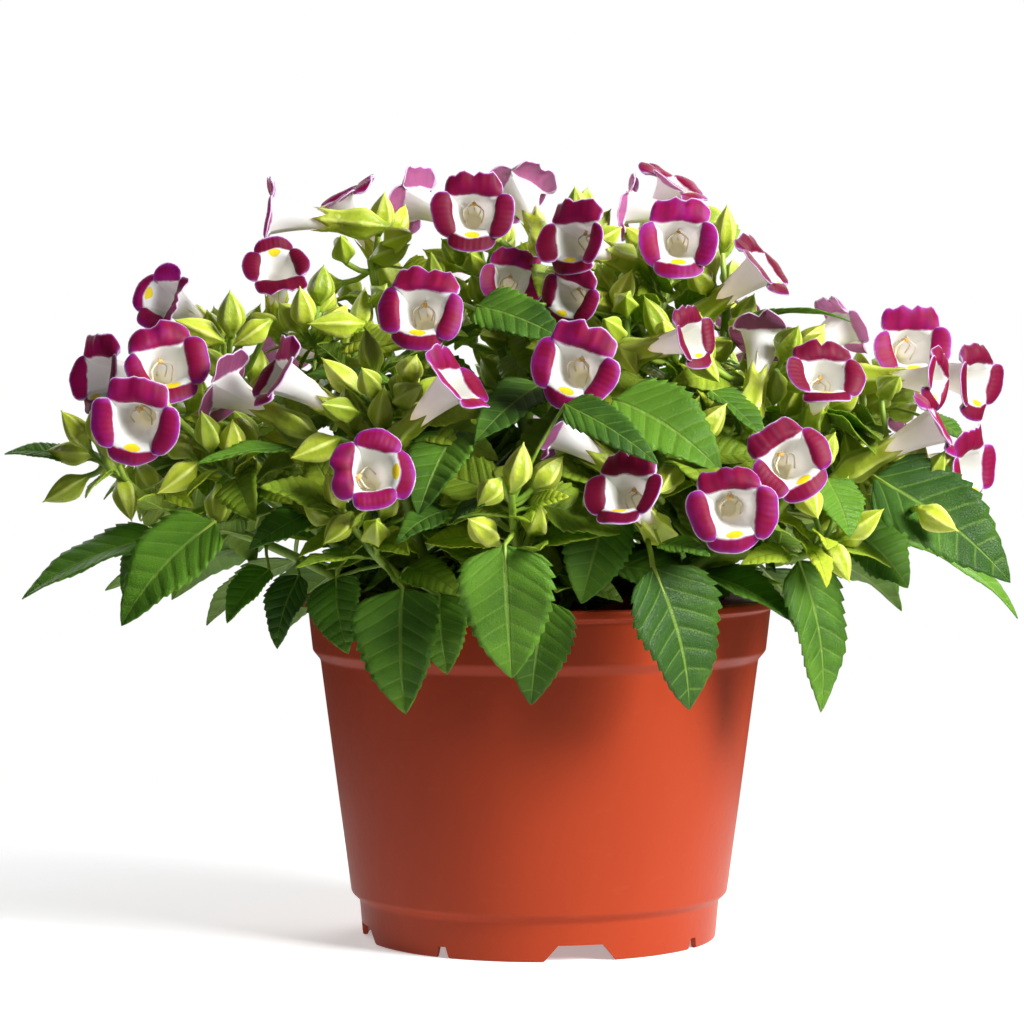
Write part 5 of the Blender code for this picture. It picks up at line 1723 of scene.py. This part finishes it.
def make_greenery(stems, blooms, buds, leaves, trees, finishes):
    """Every shoot's stems and stalks, its leaves, and its calyces and buds."""
    along_curves, on_points = trees
    upper, under, green, lime = finishes
    calyx, bud = hidden("calyx template", calyx_mesh()), hidden("bud template", bud_mesh())
    rng = random.Random(SEED + 4)
    for shoot in SHOOTS:
        node = "shoot_" + shoot
        own = [leaf for leaf in leaves if leaf["shoot"] == shoot]
        runs = [fine_run(*stem, 3) for stem in stems[shoot]]
        pods, small = [], []
        for bloom in blooms:
            if bloom["shoot"] == shoot:
                points, radii = bloom["stalk"]
                runs.append(fine_run(points[:3], radii[:3], 4))
                foot = points[2]
                grow = (1, 1, (points[4] - foot).length / (CALYX_LENGTH * MM))
                pods.append((foot, bloom["way"], bloom["up"], grow, rng.random()))
        for head in buds:
            if head["shoot"] == shoot:
                points, radii = head["points"], head["radii"]
                length = (points[3] - points[1]).length
                way = (points[3] - points[1]).normalized()
                bow = (points[0] + points[1]) / 2 + Vector((0, 0, -0.1)) * (points[1] - points[0]).length
                runs.append(fine_run([points[0], bow, points[1]], [radii[0]] * 3, 2))
                girth = mixed(0.8, 1.0, rng.random())
                grow = (girth, girth, length / (BUD_LENGTH * MM))
                small.append((points[1], way, way.orthogonal(), grow, rng.random()))
        sheet = Sheet()
        for leaf in own:
            grow_blade(sheet, leaf, rng)
            runs.append(leaf_runs(leaf))
        blades = piece("leaves_" + shoot, sheet.mesh("leaves_" + shoot), [upper, under], [node])
        thicken(blades, LEAF_SHEET)
        swept = made_by(stem_curve("stems", runs), along_curves, {"Material": green}, "stems_" + shoot)
        piece("stems_" + shoot, swept, [green], [node])
        for label, template, places in (("calyces_", calyx, pods), ("buds_", bud, small)):
            if places:
                mesh = scattered(label + shoot, template, places, on_points, lime)
                piece(label + shoot, mesh, [lime], [node])
    for template in (calyx, bud):
        bpy.data.objects.remove(template, do_unlink=True)


def make_blooms(blooms, on_points):
    """Every corolla, and the stamens in their throats."""
    front, back = petal_finish("petal front", True), petal_finish("petal back", False)
    rng = random.Random(SEED + 5)
    places = []
    for number, bloom in enumerate(blooms):
        name = "corolla_%02d" % (number + 1)
        item = piece(name, grow_corolla(bloom, number), [front, back],
                     ["bloom_%02d" % (number + 1)])
        thicken(item, PETAL_SHEET)
        size = bloom["size"]
        places.append((bloom["base"] - bloom["way"] * rng.uniform(0, 2.5) * MM, bloom["way"], bloom["up"],
                       (size, size, size), rng.random()))
    template = hidden("stamen template", stamen_mesh())
    material = stamen_finish()
    mesh = scattered("stamens", template, places, on_points, material)
    piece("stamens", mesh, [material], [])
    bpy.data.objects.remove(template, do_unlink=True)


def make_studio():
    """A pale floor, a white room, soft lamps and the camera at the photograph's angle."""
    floor = bpy.data.meshes.new("studio_floor")
    span = 6.0
    floor.from_pydata([(-span, -span, 0), (span, -span, 0), (span, span, 0), (-span, span, 0)], [],
                      [(0, 1, 2, 3)])
    floor.materials.append(floor_finish())
    item = bpy.data.objects.new("studio_floor", floor)
    bpy.context.scene.collection.objects.link(item)
    world = bpy.data.worlds.new("white room")
    bpy.context.scene.world = world
    world.use_nodes = True
    seen = add_node(world.node_tree, "ShaderNodeLightPath").outputs["Is Camera Ray"]
    strength = Reading(world.node_tree, seen) * (1 - ROOM_LIGHT) + ROOM_LIGHT
    sky = world.node_tree.nodes["Background"]
    sky.inputs["Color"].default_value = (1.0, 1.0, 1.0, 1.0)
    world.node_tree.links.new(strength.socket, sky.inputs["Strength"])
    for name, place, size, power in LAMPS:
        lamp = bpy.data.lights.new(name, "AREA")
        lamp.size = size
        lamp.energy = power
        item = bpy.data.objects.new(name, lamp)
        bpy.context.scene.collection.objects.link(item)
        item.location = place
        item.rotation_euler = (Vector((0, 0, 0.12)) - Vector(place)).to_track_quat("-Z", "Y").to_euler()
    camera = bpy.data.cameras.new("photograph")
    camera.lens = LENS
    camera.sensor_width = 36.0
    item = bpy.data.objects.new("photograph", camera)
    bpy.context.scene.collection.objects.link(item)
    item.location = CAMERA_PLACE
    item.rotation_euler = (math.radians(90 - CAMERA_FALL), 0, 0)
    bpy.context.scene.camera = item
    bpy.context.scene.view_settings.view_transform = "Standard"


def main():
    stems, blooms, buds, leaves = plan_plant()
    buds += plan_young_buds(stems)
    leaves += plan_young_leaves(stems)
    leaves += plan_fill_leaves(stems)
    on_points = scatter_tree()
    finishes = (leaf_finish("leaf top", True), leaf_finish("leaf underside", False), stem_finish(),
                calyx_finish())
    make_greenery(stems, blooms, buds, leaves, (stem_tree(), on_points), finishes)
    make_blooms(blooms, on_points)
    make_soil(crumb_tree())
    make_pot()
    make_studio()


main()
